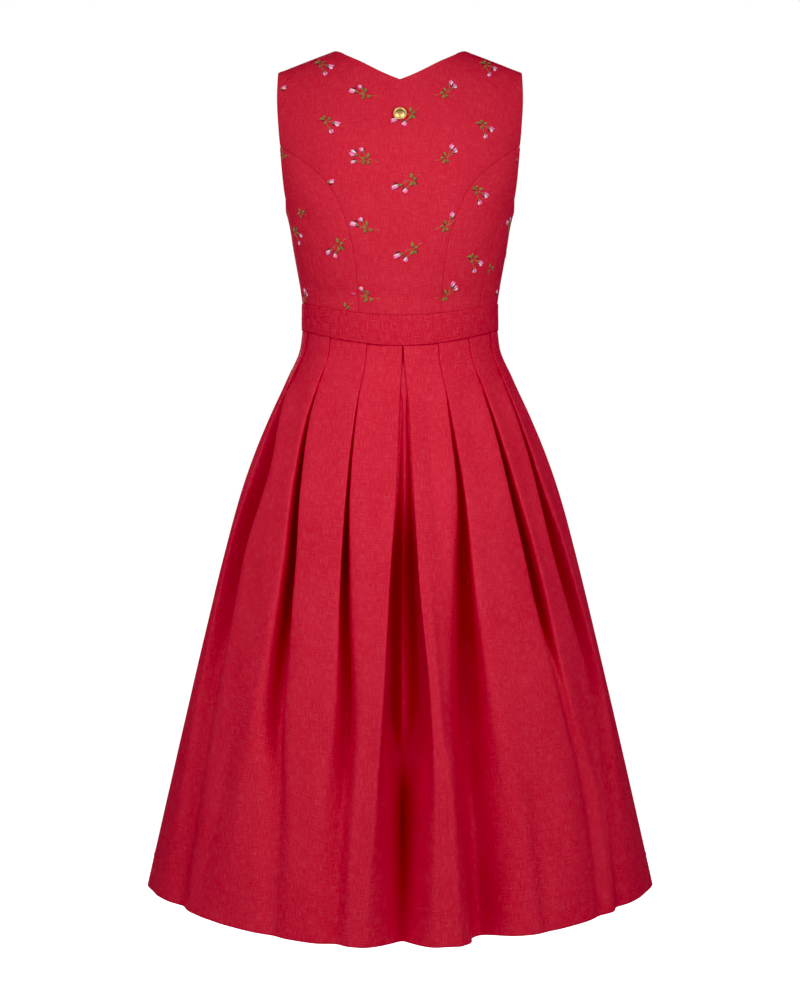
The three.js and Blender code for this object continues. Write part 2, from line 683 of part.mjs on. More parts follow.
function skirtPanel(name) {
  const outerRows = [];
  const innerRows = [];
  for (const down of SKIRT_ROWS) {
    const section = skirtSection(name, down);
    const line = section.map((p) => skirtPoint(p.angle, down, p.sunk));
    const cloth = down === 1 ? HEM_CLOTH : SKIRT_CLOTH;
    outerRows.push(offsetLine(section, line, SKIRT_CLOTH / 2));
    innerRows.push(offsetLine(section, line, SKIRT_CLOTH / 2 - cloth));
  }
  const byColumn = (rowsOfPoints) => rowsOfPoints[0].map((_, i) => rowsOfPoints.map((row) => row[i]));
  return closedWall(name, SKIRT_RED, byColumn(outerRows), byColumn(innerRows));
}

// ================================================================ buttons and stud
// A domed disc turned round its own axis: radius and height from the middle of its back.
function disc(name, material, radius, thick, rimPart, segments) {
  const profile = [
    new THREE.Vector2(0, 0),
    new THREE.Vector2(radius * 0.9, 0),
    new THREE.Vector2(radius, thick * rimPart),
    new THREE.Vector2(radius * 0.62, thick * 0.9),
    new THREE.Vector2(0, thick),
  ];
  const mesh = new THREE.Mesh(new THREE.LatheGeometry(profile, segments), material);
  mesh.name = name;
  return mesh;
}

// Sets a disc on the cloth, its back one seam gap off the surface.
function placeOn(mesh, point, out) {
  mesh.quaternion.setFromUnitVectors(new THREE.Vector3(0, 1, 0), out);
  mesh.position.copy(point).addScaledVector(out, SEAM_GAP);
  return mesh;
}

// Sets a disc on the middle of the bodice, front or back, over so much cloth.
function onMiddle(mesh, side, height, over) {
  const angle = (side * Math.PI) / 2;
  const out = bodyOut(angle, height);
  return placeOn(mesh, bodyPoint(angle, height).addScaledVector(out, over), out);
}

const button = (name) => disc(name, BUTTON_RED, BUTTON_RADIUS, BUTTON_THICK, 0.35, 14);
const lapped = BODICE_CLOTH + LAP_GAP + BUTTON_THREAD;
const frontButton = (height, i) => onMiddle(button(`button_${i + 1}`), FRONT, height, lapped);

function bandButton() {
  const out = new THREE.Vector3(0, -1, 0);
  const over = BAND_CLOTH + LAP_GAP + BUTTON_THREAD;
  const p = new THREE.Vector3(0, -BAND_HALF_DEPTH - over, BAND_BUTTON);
  return placeOn(button('button_band'), p, out);
}

const neckStud = () => onMiddle(disc('neck_stud', GOLD, STUD_RADIUS, STUD_THICK, 0.4, 20), BACK, STUD_HEIGHT, 0);

// ================================================================ the dress
const bodice = new THREE.Group();
bodice.add(
  backCentre(),
  backSide('back_side_left', 1),
  backSide('back_side_right', -1),
  frontSide('front_side_left', 1),
  frontSide('front_side_right', -1),
  frontCentre('front_centre_left', 1),
  frontCentre('front_centre_right', -1),
);

const skirt = new THREE.Group();
skirt.add(...Object.keys(PLEATS).map((name) => skirtPanel(name)));

const fastenings = new THREE.Group();
fastenings.add(...FRONT_BUTTONS.map(frontButton), bandButton(), neckStud());

const dirndl = new THREE.Group();
dirndl.name = 'dirndl';
dirndl.add(bodice, waistband(), skirt, fastenings);

export default dirndl;
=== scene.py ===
# %% [markdown]
# # A red linen dirndl, dressed for its portrait
#
# The dress is already built as plain solids: a bodice of seven panels, a waistband, a pleated
# skirt, buttons and a stud. Here each solid gets the skin that the eye sees. A skin is a thin
# sheet worked out with numpy on a grid of two parameters, so that every wrinkle, pleat and hem
# is a line of arithmetic with a size, and not a sculpted accident.

import bmesh
import bpy
import numpy as np
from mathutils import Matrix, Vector


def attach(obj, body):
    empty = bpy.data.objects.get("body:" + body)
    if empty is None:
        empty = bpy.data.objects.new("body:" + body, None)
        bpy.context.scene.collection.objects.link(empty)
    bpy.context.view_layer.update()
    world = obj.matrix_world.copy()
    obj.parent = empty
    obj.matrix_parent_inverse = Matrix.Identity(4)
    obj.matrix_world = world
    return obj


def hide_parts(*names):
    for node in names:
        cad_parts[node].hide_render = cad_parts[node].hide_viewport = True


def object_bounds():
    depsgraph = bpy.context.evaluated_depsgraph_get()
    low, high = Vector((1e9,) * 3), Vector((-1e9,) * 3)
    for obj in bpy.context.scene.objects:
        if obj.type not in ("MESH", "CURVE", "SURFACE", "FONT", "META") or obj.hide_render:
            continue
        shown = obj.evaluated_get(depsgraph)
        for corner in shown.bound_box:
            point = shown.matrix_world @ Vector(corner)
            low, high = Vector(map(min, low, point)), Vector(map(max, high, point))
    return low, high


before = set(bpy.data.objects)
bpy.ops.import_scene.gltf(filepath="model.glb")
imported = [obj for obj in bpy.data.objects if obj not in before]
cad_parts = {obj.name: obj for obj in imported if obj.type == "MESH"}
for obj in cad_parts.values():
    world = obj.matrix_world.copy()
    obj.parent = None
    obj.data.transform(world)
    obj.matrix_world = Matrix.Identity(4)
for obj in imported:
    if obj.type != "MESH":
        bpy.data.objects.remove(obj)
cad_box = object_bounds()
dress_low, dress_high = np.array(cad_box[0]), np.array(cad_box[1])
print("dress from", dress_low.round(4), "to", dress_high.round(4))

# %% [markdown]
# ## The room
#
# The dress is seen from behind, level with the middle of its length, from a little over three
# metres, through a long lens that keeps the flare of the skirt calm. Two equal upright lamps
# stand close by at both sides of the back, so that every pleat has a lit and a shaded flank. A
# third, square one shines on the hidden front. The sky is white to look at, and lights the
# dress with a tenth of that. The floor is a large pale disc below the hem, where the wearer's
# feet would stand.

# %% Camera
VIEW_DISTANCE, VIEW_HEIGHT, VIEW_SHIFT = 3.175, -0.5436, -0.02
FIELD_HEIGHT = 1.270      # how much of the plane through the dress is seen
SENSOR = 36.0             # in millimetres
BLACK_POINT = (0.018, 0.018, 0.011)     # light this faint prints as black


def linked(name, data, place=(0, 0, 0)):
    """A new object in the scene that shows the data at a place."""
    made = bpy.data.objects.new(name, data)
    made.location = place
    bpy.context.scene.collection.objects.link(made)
    return made


camera_data = bpy.data.cameras.new("camera")
camera_data.sensor_width = SENSOR
camera_data.lens = SENSOR * VIEW_DISTANCE / FIELD_HEIGHT
camera_data.shift_y = VIEW_SHIFT
camera = linked("camera", camera_data, (0, VIEW_DISTANCE, VIEW_HEIGHT))
camera.rotation_euler = (np.pi / 2, 0, np.pi)
bpy.context.scene.camera = camera
print_paper = bpy.context.scene.view_settings
print_paper.view_transform = "Standard"
print_paper.use_curve_mapping = True
print_paper.curve_mapping.black_level = BLACK_POINT
print_paper.curve_mapping.update()
print("lens", round(camera_data.lens, 1), "mm")

# %% Lamps
def soft_lamp(name, place, aim, width, tall, power):
    """An upright oblong lamp of the given sizes and power, turned to face the point aim."""
    data = bpy.data.lights.new(name, "AREA")
    data.shape = "RECTANGLE"
    data.size, data.size_y, data.energy = width, tall, power
    lamp = linked(name, data, place)
    lamp.rotation_euler = (Vector(aim) - Vector(place)).to_track_quat("-Z", "Y").to_euler()


for name, x in (("lamp_left", 0.72), ("lamp_right", -0.72)):
    soft_lamp(name, (x, 1.00, -0.04), (0, 0, -0.50), 1.0, 1.25, 10.9)
soft_lamp("front_lamp", (0.30, -2.10, 0.40), (0, 0, -0.45), 1.3, 1.3, 38)

# %% Sky
SKY_LIGHT, SKY_SEEN = 0.10, 1.0     # how strongly the sky lights the dress, and how it looks


def lit_apart(tree, low, high, socket):
    """Gives a strength two values: high when looked at, low as a light on other things."""
    seen = tree.nodes.new("ShaderNodeLightPath").outputs["Is Camera Ray"]
    strength = tree.nodes.new("ShaderNodeMapRange")
    strength.inputs["To Min"].default_value = low
    strength.inputs["To Max"].default_value = high
    tree.links.new(seen, strength.inputs["Value"])
    tree.links.new(strength.outputs[0], socket)


sky = bpy.data.worlds.new("sky")
sky.use_nodes = True
background = sky.node_tree.nodes["Background"]
background.inputs["Color"].default_value = (1, 1, 1, 1)
lit_apart(sky.node_tree, SKY_LIGHT, SKY_SEEN, background.inputs["Strength"])
bpy.context.scene.world = sky
print("the sky lights with", SKY_LIGHT, "and looks like", SKY_SEEN)

# %% Floor
FLOOR_DROP, FLOOR_RADIUS = 0.33, 40.0
FLOOR_LIGHT, FLOOR_SEEN = 0.0, 1.0
FLOOR_HEIGHT = dress_low[2] - FLOOR_DROP

bpy.ops.mesh.primitive_circle_add(vertices=96, radius=FLOOR_RADIUS, fill_type="NGON",
                                  location=(0, 0, FLOOR_HEIGHT))
floor = bpy.context.object
floor.name = "floor"
pale = bpy.data.materials.new("pale_floor")
pale.use_nodes = True
matt = pale.node_tree.nodes["Principled BSDF"]
matt.inputs["Base Color"].default_value = (0.9, 0.9, 0.9, 1)
matt.inputs["Roughness"].default_value = 0.8
matt.inputs["Emission Color"].default_value = (1, 1, 1, 1)
lit_apart(pale.node_tree, FLOOR_LIGHT, FLOOR_SEEN, matt.inputs["Emission Strength"])
floor.data.materials.append(pale)
print("floor at", round(FLOOR_HEIGHT, 3))

# %% [markdown]
# ## Reading a cutting table
#
# A tailor keeps measurements in rows: at this height, the body is so wide and so deep. Between
# the rows the cloth runs in a smooth curve. A cubic through the rows could overshoot and bulge,
# so the slope at each row is the harmonic mean of the slopes on both sides, and zero at a peak.
# All lengths in the tables are written in millimetres and turned into metres here.

# %% Reading a table
def table(names, *rows, plain=""):
    """Named columns from rows of numbers. Every column but the plain ones is in millimetres."""
    columns = dict(zip(names.split(), np.array(rows, float).T))
    return {name: column if name in plain.split() else column / 1000
            for name, column in columns.items()}


def read(columns, key, at, value):
    """The value column where the key column equals at: cubic pieces that never overshoot."""
    x, y = columns[key], columns[value]
    if x[-1] < x[0]:
        x, y = x[::-1], y[::-1]
    step = np.diff(x)
    slope = np.diff(y) / step
    product, total = slope[1:] * slope[:-1], slope[1:] + slope[:-1]
    inner = np.where(product > 0, 2 * product / np.where(total == 0, 1, total), 0)
    tangent = np.concatenate([slope[:1], inner, slope[-1:]])
    i = np.clip(np.searchsorted(x, at, side="right") - 1, 0, len(x) - 2)
    s = np.clip((at - x[i]) / step[i], 0, 1)
    a, b = y[i], y[i + 1]
    ta, tb = tangent[i] * step[i], tangent[i + 1] * step[i]
    return a + s * (ta + s * (3 * (b - a) - 2 * ta - tb + s * (ta + tb - 2 * (b - a))))


ruler = table("at size", (0, 0), (10, 5), (20, 6))
print("between the rows of a table:", read(ruler, "at", 0.015, "size"))

# %% Small curves
def mix(a, b, t):
    """Straight from a to b as t goes from 0 to 1."""
    return a + (b - a) * t


def smooth(x, low, high):
    """0 below low, 1 above high, and an S curve between them."""
    t = np.clip((x - low) / (high - low), 0, 1)
    return t * t * (3 - 2 * t)


def bell(away, width):
    """exp(-(away / width)^2): one on a line, and nearly nothing at twice the width."""
    return np.exp(-(away / width) ** 2)


def between(t, a, b, c, d):
    """0 before a, 1 from b to c, 0 again after d, and an S curve on both slopes."""
    return smooth(t, a, b) * (1 - smooth(t, c, d))


def signed_power(value, power):
    """The power of the size of a value, with its sign kept."""
    return np.sign(value) * np.abs(value) ** power


def unit(vectors):
    """Vectors of length one along the last axis."""
    return vectors / np.maximum(np.linalg.norm(vectors, axis=-1, keepdims=True), 1e-12)


print("a quarter along the S curve:", smooth(0.25, 0, 1), "bell:", bell(0.25, 1).round(3))

# %% [markdown]
# ## The form the bodice is cut for
#
# Every panel lies on one form. A point on it has two numbers: an angle round the body, with
# 0 at the wearer's left side and a quarter turn at the middle of the back, and a height. At
# each height the form is a superellipse, an oval with squared shoulders, and over the shoulders
# it closes like a vault. One form for all panels means that their seams meet by themselves.

# %% The body form
SHOULDER_GAP = 0.00004
NECK_HALF, SHOULDER_TIP, SHOULDER_DROP = 0.084, 0.1545, 0.027
ARCH_HEIGHT, NAPE_ROUND = 0.170, 0.040
BACK, FRONT = 1, -1

BODY = table(
    "height half_width back front square",
    (-400, 124, 97, 97, 2), (-322, 124, 97, 98, 2), (-302, 126.4, 100, 105, 2.1),
    (-277, 130.8, 104, 117, 2.2), (-252, 135.3, 107, 127, 2.3), (-226, 139.4, 110, 131, 2.4),
    (-200, 145.5, 111, 126, 2.4), (-175, 151.5, 111, 118, 2.4), (-126, 158.5, 107, 107, 2.4),
    (-60, 169, 96, 97, 2.4), (30, 180, 86, 88, 2.4),
    plain="square",
)
NECK_REACH = np.hypot(NECK_HALF, NAPE_ROUND)
SHOULDER_SLOPE = SHOULDER_DROP / (np.hypot(SHOULDER_TIP, NAPE_ROUND) - NECK_REACH)


def shoulder_height(x):
    """The shoulder line: a straight fall from neck to tip, rounded off over the nape."""
    return -SHOULDER_SLOPE * (np.hypot(x, NAPE_ROUND) - NECK_REACH)


def size_at(name, height):
    """One of the form's sizes at a height."""
    return read(BODY, "height", height, name)


print("the shoulder falls by", (-shoulder_height(SHOULDER_TIP)).round(4), "m to its tip")

# %% Points of the form
def form_at(angle, height):
    """The sizes of the form at an angle and height, and how far its vault has closed."""
    c, s = np.cos(angle), np.sin(angle)
    width, square = size_at("half_width", height), size_at("square", height)
    depth = np.where(s > 0, size_at("back", height), size_at("front", height))
    x = width * signed_power(c, 2 / square)
    below = np.clip((shoulder_height(x) - height) / ARCH_HEIGHT, 0, 1)
    return c, s, width, depth, square, x, below, np.sqrt(1 - (1 - below) ** 2)


def body_point(angle, height):
    """x = width cos^(2/n), y = depth sin^(2/n) times the vault; a hair apart at the shoulder."""
    _, s, _, depth, square, x, _, arch = form_at(angle, height)
    y = depth * signed_power(s, 2 / square) * arch + np.sign(s) * SHOULDER_GAP * (1 - arch) / 2
    return np.stack([x, y, np.broadcast_to(height, x.shape)], -1)


print("the back stands out", body_point(np.pi / 2, -0.2)[1].round(4), "m")

# %% The way out of the form
def body_out(angle, height):
    """The way out of the form: the slope of (x/width)^n + (y/(depth arch))^n, times arch^2."""
    c, s, width, depth, square, x, below, arch = form_at(angle, height)

    def growth(name, step=0.001):
        """How fast a size grows with height, as a share of itself: a difference over a sum."""
        low, high = size_at(name, height - step), size_at(name, height + step)
        return (high - low) / (step * (low + high))

    closing = s * s * (1 - below) / ARCH_HEIGHT
    fall = -SHOULDER_SLOPE * x / np.hypot(x, NAPE_ROUND)
    deepening = np.where(s > 0, growth("back"), growth("front"))
    widening = c * c * growth("half_width") + s * s * deepening
    return unit(np.stack([
        arch * arch * signed_power(c, 2 - 2 / square) / width - closing * fall,
        arch * signed_power(s, 2 - 2 / square) / depth,
        closing - arch * arch * widening,
    ], -1))


print("the way out at the back:", body_out(np.pi / 2, -0.2).round(3))

# %% From a flat place to an angle, and the other hand
def on_body(x, height, side):
    """The angle and height of a point known by its distance from the middle and its height."""
    across = np.minimum(np.abs(x) / size_at("half_width", height), 1)
    left = np.arccos(across ** (size_at("square", height) / 2))
    return side * np.where(x < 0, np.pi - left, left), height


def mirrored(place):
    """The same place on the other hand."""
    return np.pi - place[0], place[1]


print("5 cm from the middle:", np.degrees(on_body(0.05, -0.2, BACK)[0]).round(1), "degrees")

# %% [markdown]
# ## From a grid to cloth
#
# A sheet is a grid of points, one row of faces for each row of the grid. It carries a map of
# the flat cloth in metres, measured along the grid, so the weave lies on it at its real scale.
# A Solidify modifier gives it the thickness of the real cloth, and a fine Bevel rounds the cut
# edges of the thicker bodice. The band, the buttons and the stud are closed skins instead.

# %% Lines and cells of a grid
def steps(*stops):
    """Parameter values that pass through each stop: (first, (next, count), (next, count) ...)."""
    values = [np.array([stops[0]], float)]
    for stop, count in stops[1:]:
        values.append(np.linspace(values[-1][-1], stop, count + 1)[1:])
    return np.concatenate(values)


def run_length(points, axis):
    """The length of the cloth from the first line of a grid to each later one."""
    gaps = np.linalg.norm(np.diff(points, axis=axis), axis=-1)
    start = np.zeros_like(np.take(gaps, [0], axis=axis))
    return np.concatenate([start, np.cumsum(gaps, axis=axis)], axis=axis)


def grid_normals(points):
    """The way out of a grid[column, row], from the slopes of its two directions."""
    return unit(np.cross(np.gradient(points, axis=0), np.gradient(points, axis=1)))


def corners_of(grid):
    """The four corners of every cell of a grid[column, row], in order round the cell."""
    return np.stack([grid[:-1, :-1], grid[1:, :-1], grid[1:, 1:], grid[:-1, 1:]], 2)


print("stops with steps between:", steps(0, (0.5, 2), (1, 1)))

# %% From grid to mesh
def skin(name, points, quads, flat):
    """A smooth mesh of quads; flat holds the place in the cloth of each quad's corners."""
    mesh = bpy.data.meshes.new(name)
    mesh.from_pydata(points.reshape(-1, 3), [], quads.reshape(-1, 4).tolist())
    layer = mesh.uv_layers.new(name="cloth")
    layer.data.foreach_set("uv", np.ascontiguousarray(flat, np.float32).ravel())
    mesh.shade_smooth()
    return linked(name, mesh)


def sheet_mesh(name, points, flat, turned=False):
    """The skin of a grid[column, row] of points, facing the other way if turned."""
    columns, rows = points.shape[:2]
    quads = corners_of(np.arange(columns * rows).reshape(columns, rows))
    if turned:
        quads, flat = quads[:, :, ::-1], flat[:, :, ::-1]
    return skin(name, points, quads, flat)


print("cells of 3 x 3 points:", corners_of(np.arange(9).reshape(3, 3)).reshape(-1, 4).tolist())

# %% Flat map and thickness
def flat_map(points):
    """How far across and along the cloth each corner lies, measured from the middle column."""
    across, along = run_length(points, 0), run_length(points, 1)
    middle = across[len(across) // 2]
    return corners_of(np.stack([across - middle, along - along.mean()], -1))


def thicken(piece, cloth, offset, rounding=0.0):
    """Gives the sheet its cloth thickness; offset -1 keeps the outer face where it is."""
    solidify = piece.modifiers.new("cloth", "SOLIDIFY")
    solidify.thickness, solidify.offset = cloth, offset
    if rounding:
        bevel = piece.modifiers.new("cut_edge", "BEVEL")
        bevel.width, bevel.segments, bevel.limit_method = rounding, 2, "ANGLE"
        bevel.angle_limit = np.radians(55)


# %% [markdown]
# ## The cut of the bodice
#
# A maker cuts the back as one wide middle panel from waist to shoulders and two narrow side
# panels, and the curved seams between them, the princess seams, take the place of darts. The
# hidden front is cut the same way and opens down the middle. Each panel is filled in between
# its four edges: a straight blend of the two side edges, plus what the lower and upper edges
# bulge away from their own chords. That is a Coons patch, and it needs only the edges.

# %% Lines and tables of the cut
BAND_TOP = {"side": -0.3200, BACK: 0.0204, FRONT: 0.0070}
BAND_BOTTOM = {"side": -0.3544, BACK: 0.0236, FRONT: 0.0090}
HEM = {"side": -1.0520, BACK: 0.0396, FRONT: 0.0300}
WAIST_GAP, WAIST_JOIN = 0.00055, 0.00003
FRONT_LAP, LAP_GAP, BODICE_CLOTH = 0.012, 0.0011, 0.0020
NOTCH = 8 / 14            # how far up the panel's edge the princess seam meets the armhole
SEAM_CROWD, ARM_CROWD = 1.35, 2   # powers that crowd the points of an edge towards its top
SHOULDER_STOPS = (0.22, 0.78)   # between these the top edge of the back is neckline
START, END = np.array(0.0), np.array(1.0)

BACK_PRINCESS = table(
    "height x",
    (-360, 51), (-300, 53.5), (-261, 58.4), (-233, 65.1), (-204, 75.5), (-176, 92.3), (-147, 122.6),
    (-126, 150.5),
)
BACK_ARMHOLE = table("height x", (-126, 150.5), (-105, 152.5), (-60, 155.0), (-27, 154.5))
FRONT_PRINCESS = table(
    "height x",
    (-360, 50), (-322, 53), (-285, 61), (-245, 75), (-205, 95), (-170, 117), (-138, 142),
)
FRONT_ARMHOLE = table("height x", (-138, 142), (-100, 142), (-60, 147), (-27, 154.5))
SIDE_SEAM = table(
    "height angle",
    (-350, 36), (-290, 35), (-250, 33), (-226, 29), (-208, 21), (-190, 14),
    plain="angle",
)
UNDERARM = table(
    "along angle height",
    (0, 19.4, -126), (0.14, 18, -150), (0.28, 16.4, -175), (0.38, 14, -190), (0.47, 8, -200),
    (0.56, 0, -205), (0.67, -10, -203), (0.78, -19, -192), (0.88, -24.5, -170), (1, -27, -138),
    plain="along angle",
)
SIDE_SEAM_ALONG = 0.38
BACK_NECK = table(
    "x height",
    (0, -46.5), (12, -41.4), (25, -34.8), (50, -19.9), (67, -10.2), (76, -3.8), (84, 0),
)
FRONT_NECK = table(
    "along x height",
    (0, -12, -172), (0.17, 14, -163), (0.34, 38, -132), (0.5, 56, -96), (0.67, 69, -58),
    (0.84, 79, -19), (1, 84, 0),
    plain="along",
)


print("the band is", round(BAND_TOP["side"] - BAND_BOTTOM["side"], 4), "m high at the side")

# %% The waist line
def edge_height(line, angle):
    """A waist line or hem: level at the sides, dipping by sine squared to the middle."""
    s = np.sin(angle)
    return line["side"] - np.where(s > 0, line[BACK], line[FRONT]) * s * s


def waist_at(angle):
    """The lower edge of the bodice, just above the band."""
    return angle, edge_height(BAND_TOP, angle) + WAIST_JOIN


def waist_point(x, side):
    """The waist edge at a distance from the middle, found by stepping to it four times."""
    height = BAND_TOP["side"] + WAIST_JOIN
    for _ in range(4):
        height = waist_at(on_body(x, height, side)[0])[1]
    return on_body(x, height, side)


print("waist edge in the middle of the back:", waist_at(np.pi / 2)[1].round(4))

# %% Princess seams and armholes
def edge_up(columns, side, foot, top, crowd):
    """An edge of a panel: height = foot + (top - foot) (1 - (1 - m)^crowd), x from its table."""
    def edge(m):
        """The place a share m of the way up."""
        height = mix(foot, top, 1 - (1 - m) ** crowd)
        return on_body(read(columns, "height", height, "x"), height, side)
    return edge


def long_edge(seam, arm, side):
    """The princess seam from waist to notch, and with the armhole on from there to the shoulder."""
    foot = waist_point(read(seam, "height", BAND_TOP["side"], "x"), side)[1]
    low = edge_up(seam, side, foot, seam["height"][-1], SEAM_CROWD)
    high = edge_up(arm, side, arm["height"][0], -SHOULDER_DROP, ARM_CROWD)

    def edge(r):
        """The place a share r of the way up: the seam below the notch, the armhole above."""
        a, b = low(np.clip(r / NOTCH, 0, 1)), high(np.clip((r - NOTCH) / (1 - NOTCH), 0, 1))
        return np.where(r <= NOTCH, a[0], b[0]), np.where(r <= NOTCH, a[1], b[1])
    return low, edge


back_princess, back_edge = long_edge(BACK_PRINCESS, BACK_ARMHOLE, BACK)
front_princess, front_edge = long_edge(FRONT_PRINCESS, FRONT_ARMHOLE, FRONT)


print("the back princess seam starts at", *map(float, back_princess(START)))

# %% Side seam, underarm, top and closing
def side_seam(m):
    """The side seam from waist to underarm."""
    foot = waist_at(np.radians(SIDE_SEAM["angle"][0]))[1]
    height = mix(foot, SIDE_SEAM["height"][-1], m)
    return np.radians(read(SIDE_SEAM, "height", height, "angle")), height


def underarm(along):
    """The low part of the armhole, from the back princess seam to the front one."""
    angle = np.radians(read(UNDERARM, "along", along, "angle"))
    place = angle, read(UNDERARM, "along", along, "height")
    return [np.where(along <= 0, first, np.where(along >= 1, last, between_them))
            for first, last, between_them in zip(back_princess(END), front_princess(END), place)]


def shoulder_and_nape(u):
    """The top edge of the back: the shoulder, then the neckline down to the middle."""
    part = 2 * SHOULDER_STOPS[0]
    x = np.where(u < part, mix(SHOULDER_TIP, NECK_HALF, u / part),
                 mix(NECK_HALF, 0, (u - part) / (1 - part)))
    height = np.where(u < part, shoulder_height(x), read(BACK_NECK, "x", x, "height"))
    return on_body(x, height, BACK)


def closing_and_neck(r):
    """The inner edge of a middle front: up the closing, then along the neckline."""
    along = np.clip((r - NOTCH) / (1 - NOTCH), 0, 1)
    low = mix(waist_point(-FRONT_LAP, FRONT)[1], FRONT_NECK["height"][0], r / NOTCH)
    x = np.where(r <= NOTCH, -FRONT_LAP, read(FRONT_NECK, "along", along, "x"))
    high = np.where(along == 1, shoulder_height(x), read(FRONT_NECK, "along", along, "height"))
    return on_body(x, np.where(r <= NOTCH, low, high), FRONT)


print("the side seam ends at", *map(float, side_seam(END)))

# %% Fill a panel in
def filled_in(left, right, top, rise=lambda r: r):
    """A Coons patch: the side edges blended straight, plus the bulge of the waist and the top."""
    def waist(u):
        """The waist line a share u of the way across."""
        return waist_at(mix(left(START)[0], right(START)[0], u))

    def bulge(line, u):
        """How far a line swings out from the straight one between its ends."""
        a, b, p = line(START), line(END), line(u)
        return [p[k] - mix(a[k], b[k], u) for k in (0, 1)]

    def cut(u, r):
        """The place in the panel a share u across and r up."""
        a, b, h = left(r), right(r), rise(r)
        low, high = bulge(waist, u), bulge(top, u)
        return [mix(a[k], b[k], u) + (1 - h) * low[k] + h * high[k] for k in (0, 1)]
    return cut


# %% [markdown]
# ## Creases of a worn bodice
#
# Firm linen over a firm interlining stays smooth, but it is not a balloon. It drags a little
# from the armhole, it crumples just above the band where the wearer bends, and a sewn seam
# shrinks in the wash, so that small puckers cross it. Each crease is a row: where it starts and
# ends on the body, how wide and how deep it is. Its cross-section is a bell curve and its ends
# fade away. Depths are below a millimetre and a half, which is what shows.

# %% The creases
CREASES = table(
    "angle_a height_a angle_b height_b width depth",
    # above the band, at the back
    (62, -316, 84, -322, 5, -0.6), (98, -309, 118, -314, 6, 0.7), (104, -322, 126, -320, 4.5, -0.9),
    (128, -306, 152, -300, 6, -0.9), (24, -303, 50, -310, 6.5, -1), (20, -285, 44, -290, 8, 0.8),
    (136, -284, 160, -276, 8, 0.7),
    # drags from the armholes
    (38, -150, 66, -205, 14, -1.2), (142, -152, 116, -210, 15, -1.3), (30, -205, 52, -250, 11, -1),
    (149, -208, 128, -262, 12, 0.9), (50, -120, 74, -140, 16, 0.8),
    # between the shoulder blades and along the spine
    (72, -96, 108, -92, 18, -0.9), (86, -180, 92, -262, 20, -1), (70, -232, 78, -286, 15, 0.7),
    (107, -226, 101, -290, 15, 0.8),
    # hidden front
    (-62, -316, -80, -320, 5, -0.9), (-104, -312, -126, -308, 6, -0.9),
    (-30, -300, -52, -306, 7, -1), (-130, -296, -152, -300, 7, 0.9),
    (-30, -185, -48, -225, 13, -1.2), (-150, -182, -131, -228, 13, -1.1),
    (-56, -120, -72, -150, 14, 0.9), (-124, -118, -108, -152, 14, 0.8),
    plain="angle_a angle_b",
)
MEAN_RADIUS = 0.118       # turns an angle on the bodice into a rough distance
CREASE_FADE = -0.15, 0.30, 0.70, 1.15           # as shares of a crease's length
PUCKER_LENGTH, PUCKER_DEPTH = 0.0085, 0.00012


print(len(CREASES["depth"]), "creases")

# %% Relief of creases, seams and edges
def crease_relief(angle, height):
    """The sum over all creases of depth x bell(distance from its line) x fade(at its ends)."""
    relief = np.zeros(np.broadcast(angle, height).shape)
    turned = (angle + np.pi / 2) % (2 * np.pi) - np.pi / 2
    for a0, h0, a1, h1, width, depth in zip(*CREASES.values()):
        ax, bx = np.radians(a0) * MEAN_RADIUS, np.radians(a1) * MEAN_RADIUS
        line = np.array([bx - ax, h1 - h0])
        length = np.hypot(*line)
        for lap in (0, -2 * np.pi):
            px, py = (turned + lap) * MEAN_RADIUS - ax, height - h0
            t = (px * line[0] + py * line[1]) / length ** 2
            away = (px * line[1] - py * line[0]) / length
            relief += depth * between(t, *CREASE_FADE) * bell(away, width)
    return relief


def seam_relief(away, along):
    """A pressed seam: the cloth turns in at the line, and puckers of uneven size cross it."""
    pressed = -0.0007 * bell(away, 0.0008) - 0.0002 * bell(away, 0.004)
    wave = (np.sin(2 * np.pi * along / PUCKER_LENGTH + 2.1 * np.sin(along / 0.023))
            * (0.6 + 0.4 * np.sin(along / 0.017 + 1.0)))
    return pressed + PUCKER_DEPTH * wave * bell(away, 0.006) * (1 - bell(away, 0.0012))


def edge_roll(away):
    """A faced edge: a soft roll 5 mm wide, where the turned-in layer thickens the cloth."""
    return 0.0003 * (1 - smooth(away, 0.0045, 0.0080)) - 0.0004 * bell(away, 0.0008)


print("a seam turns in by", -seam_relief(0, 0).round(5), "m")

# %% [markdown]
# ## The seven panels
#
# Neighbours share the line of their seam, and both turn in there, so that it reads as a groove.
# Distances to the edges are measured along the cloth itself, so that a pressed seam is as wide
# on the narrow side panel as on the broad back. Lines of the grid crowd towards the edges,
# where the relief is finest.

# %% Build a panel
CUT_ROUNDING, WAIST_TURNED, WAIST_TURN_HIGH = 0.0004, 0.0003, 0.0015


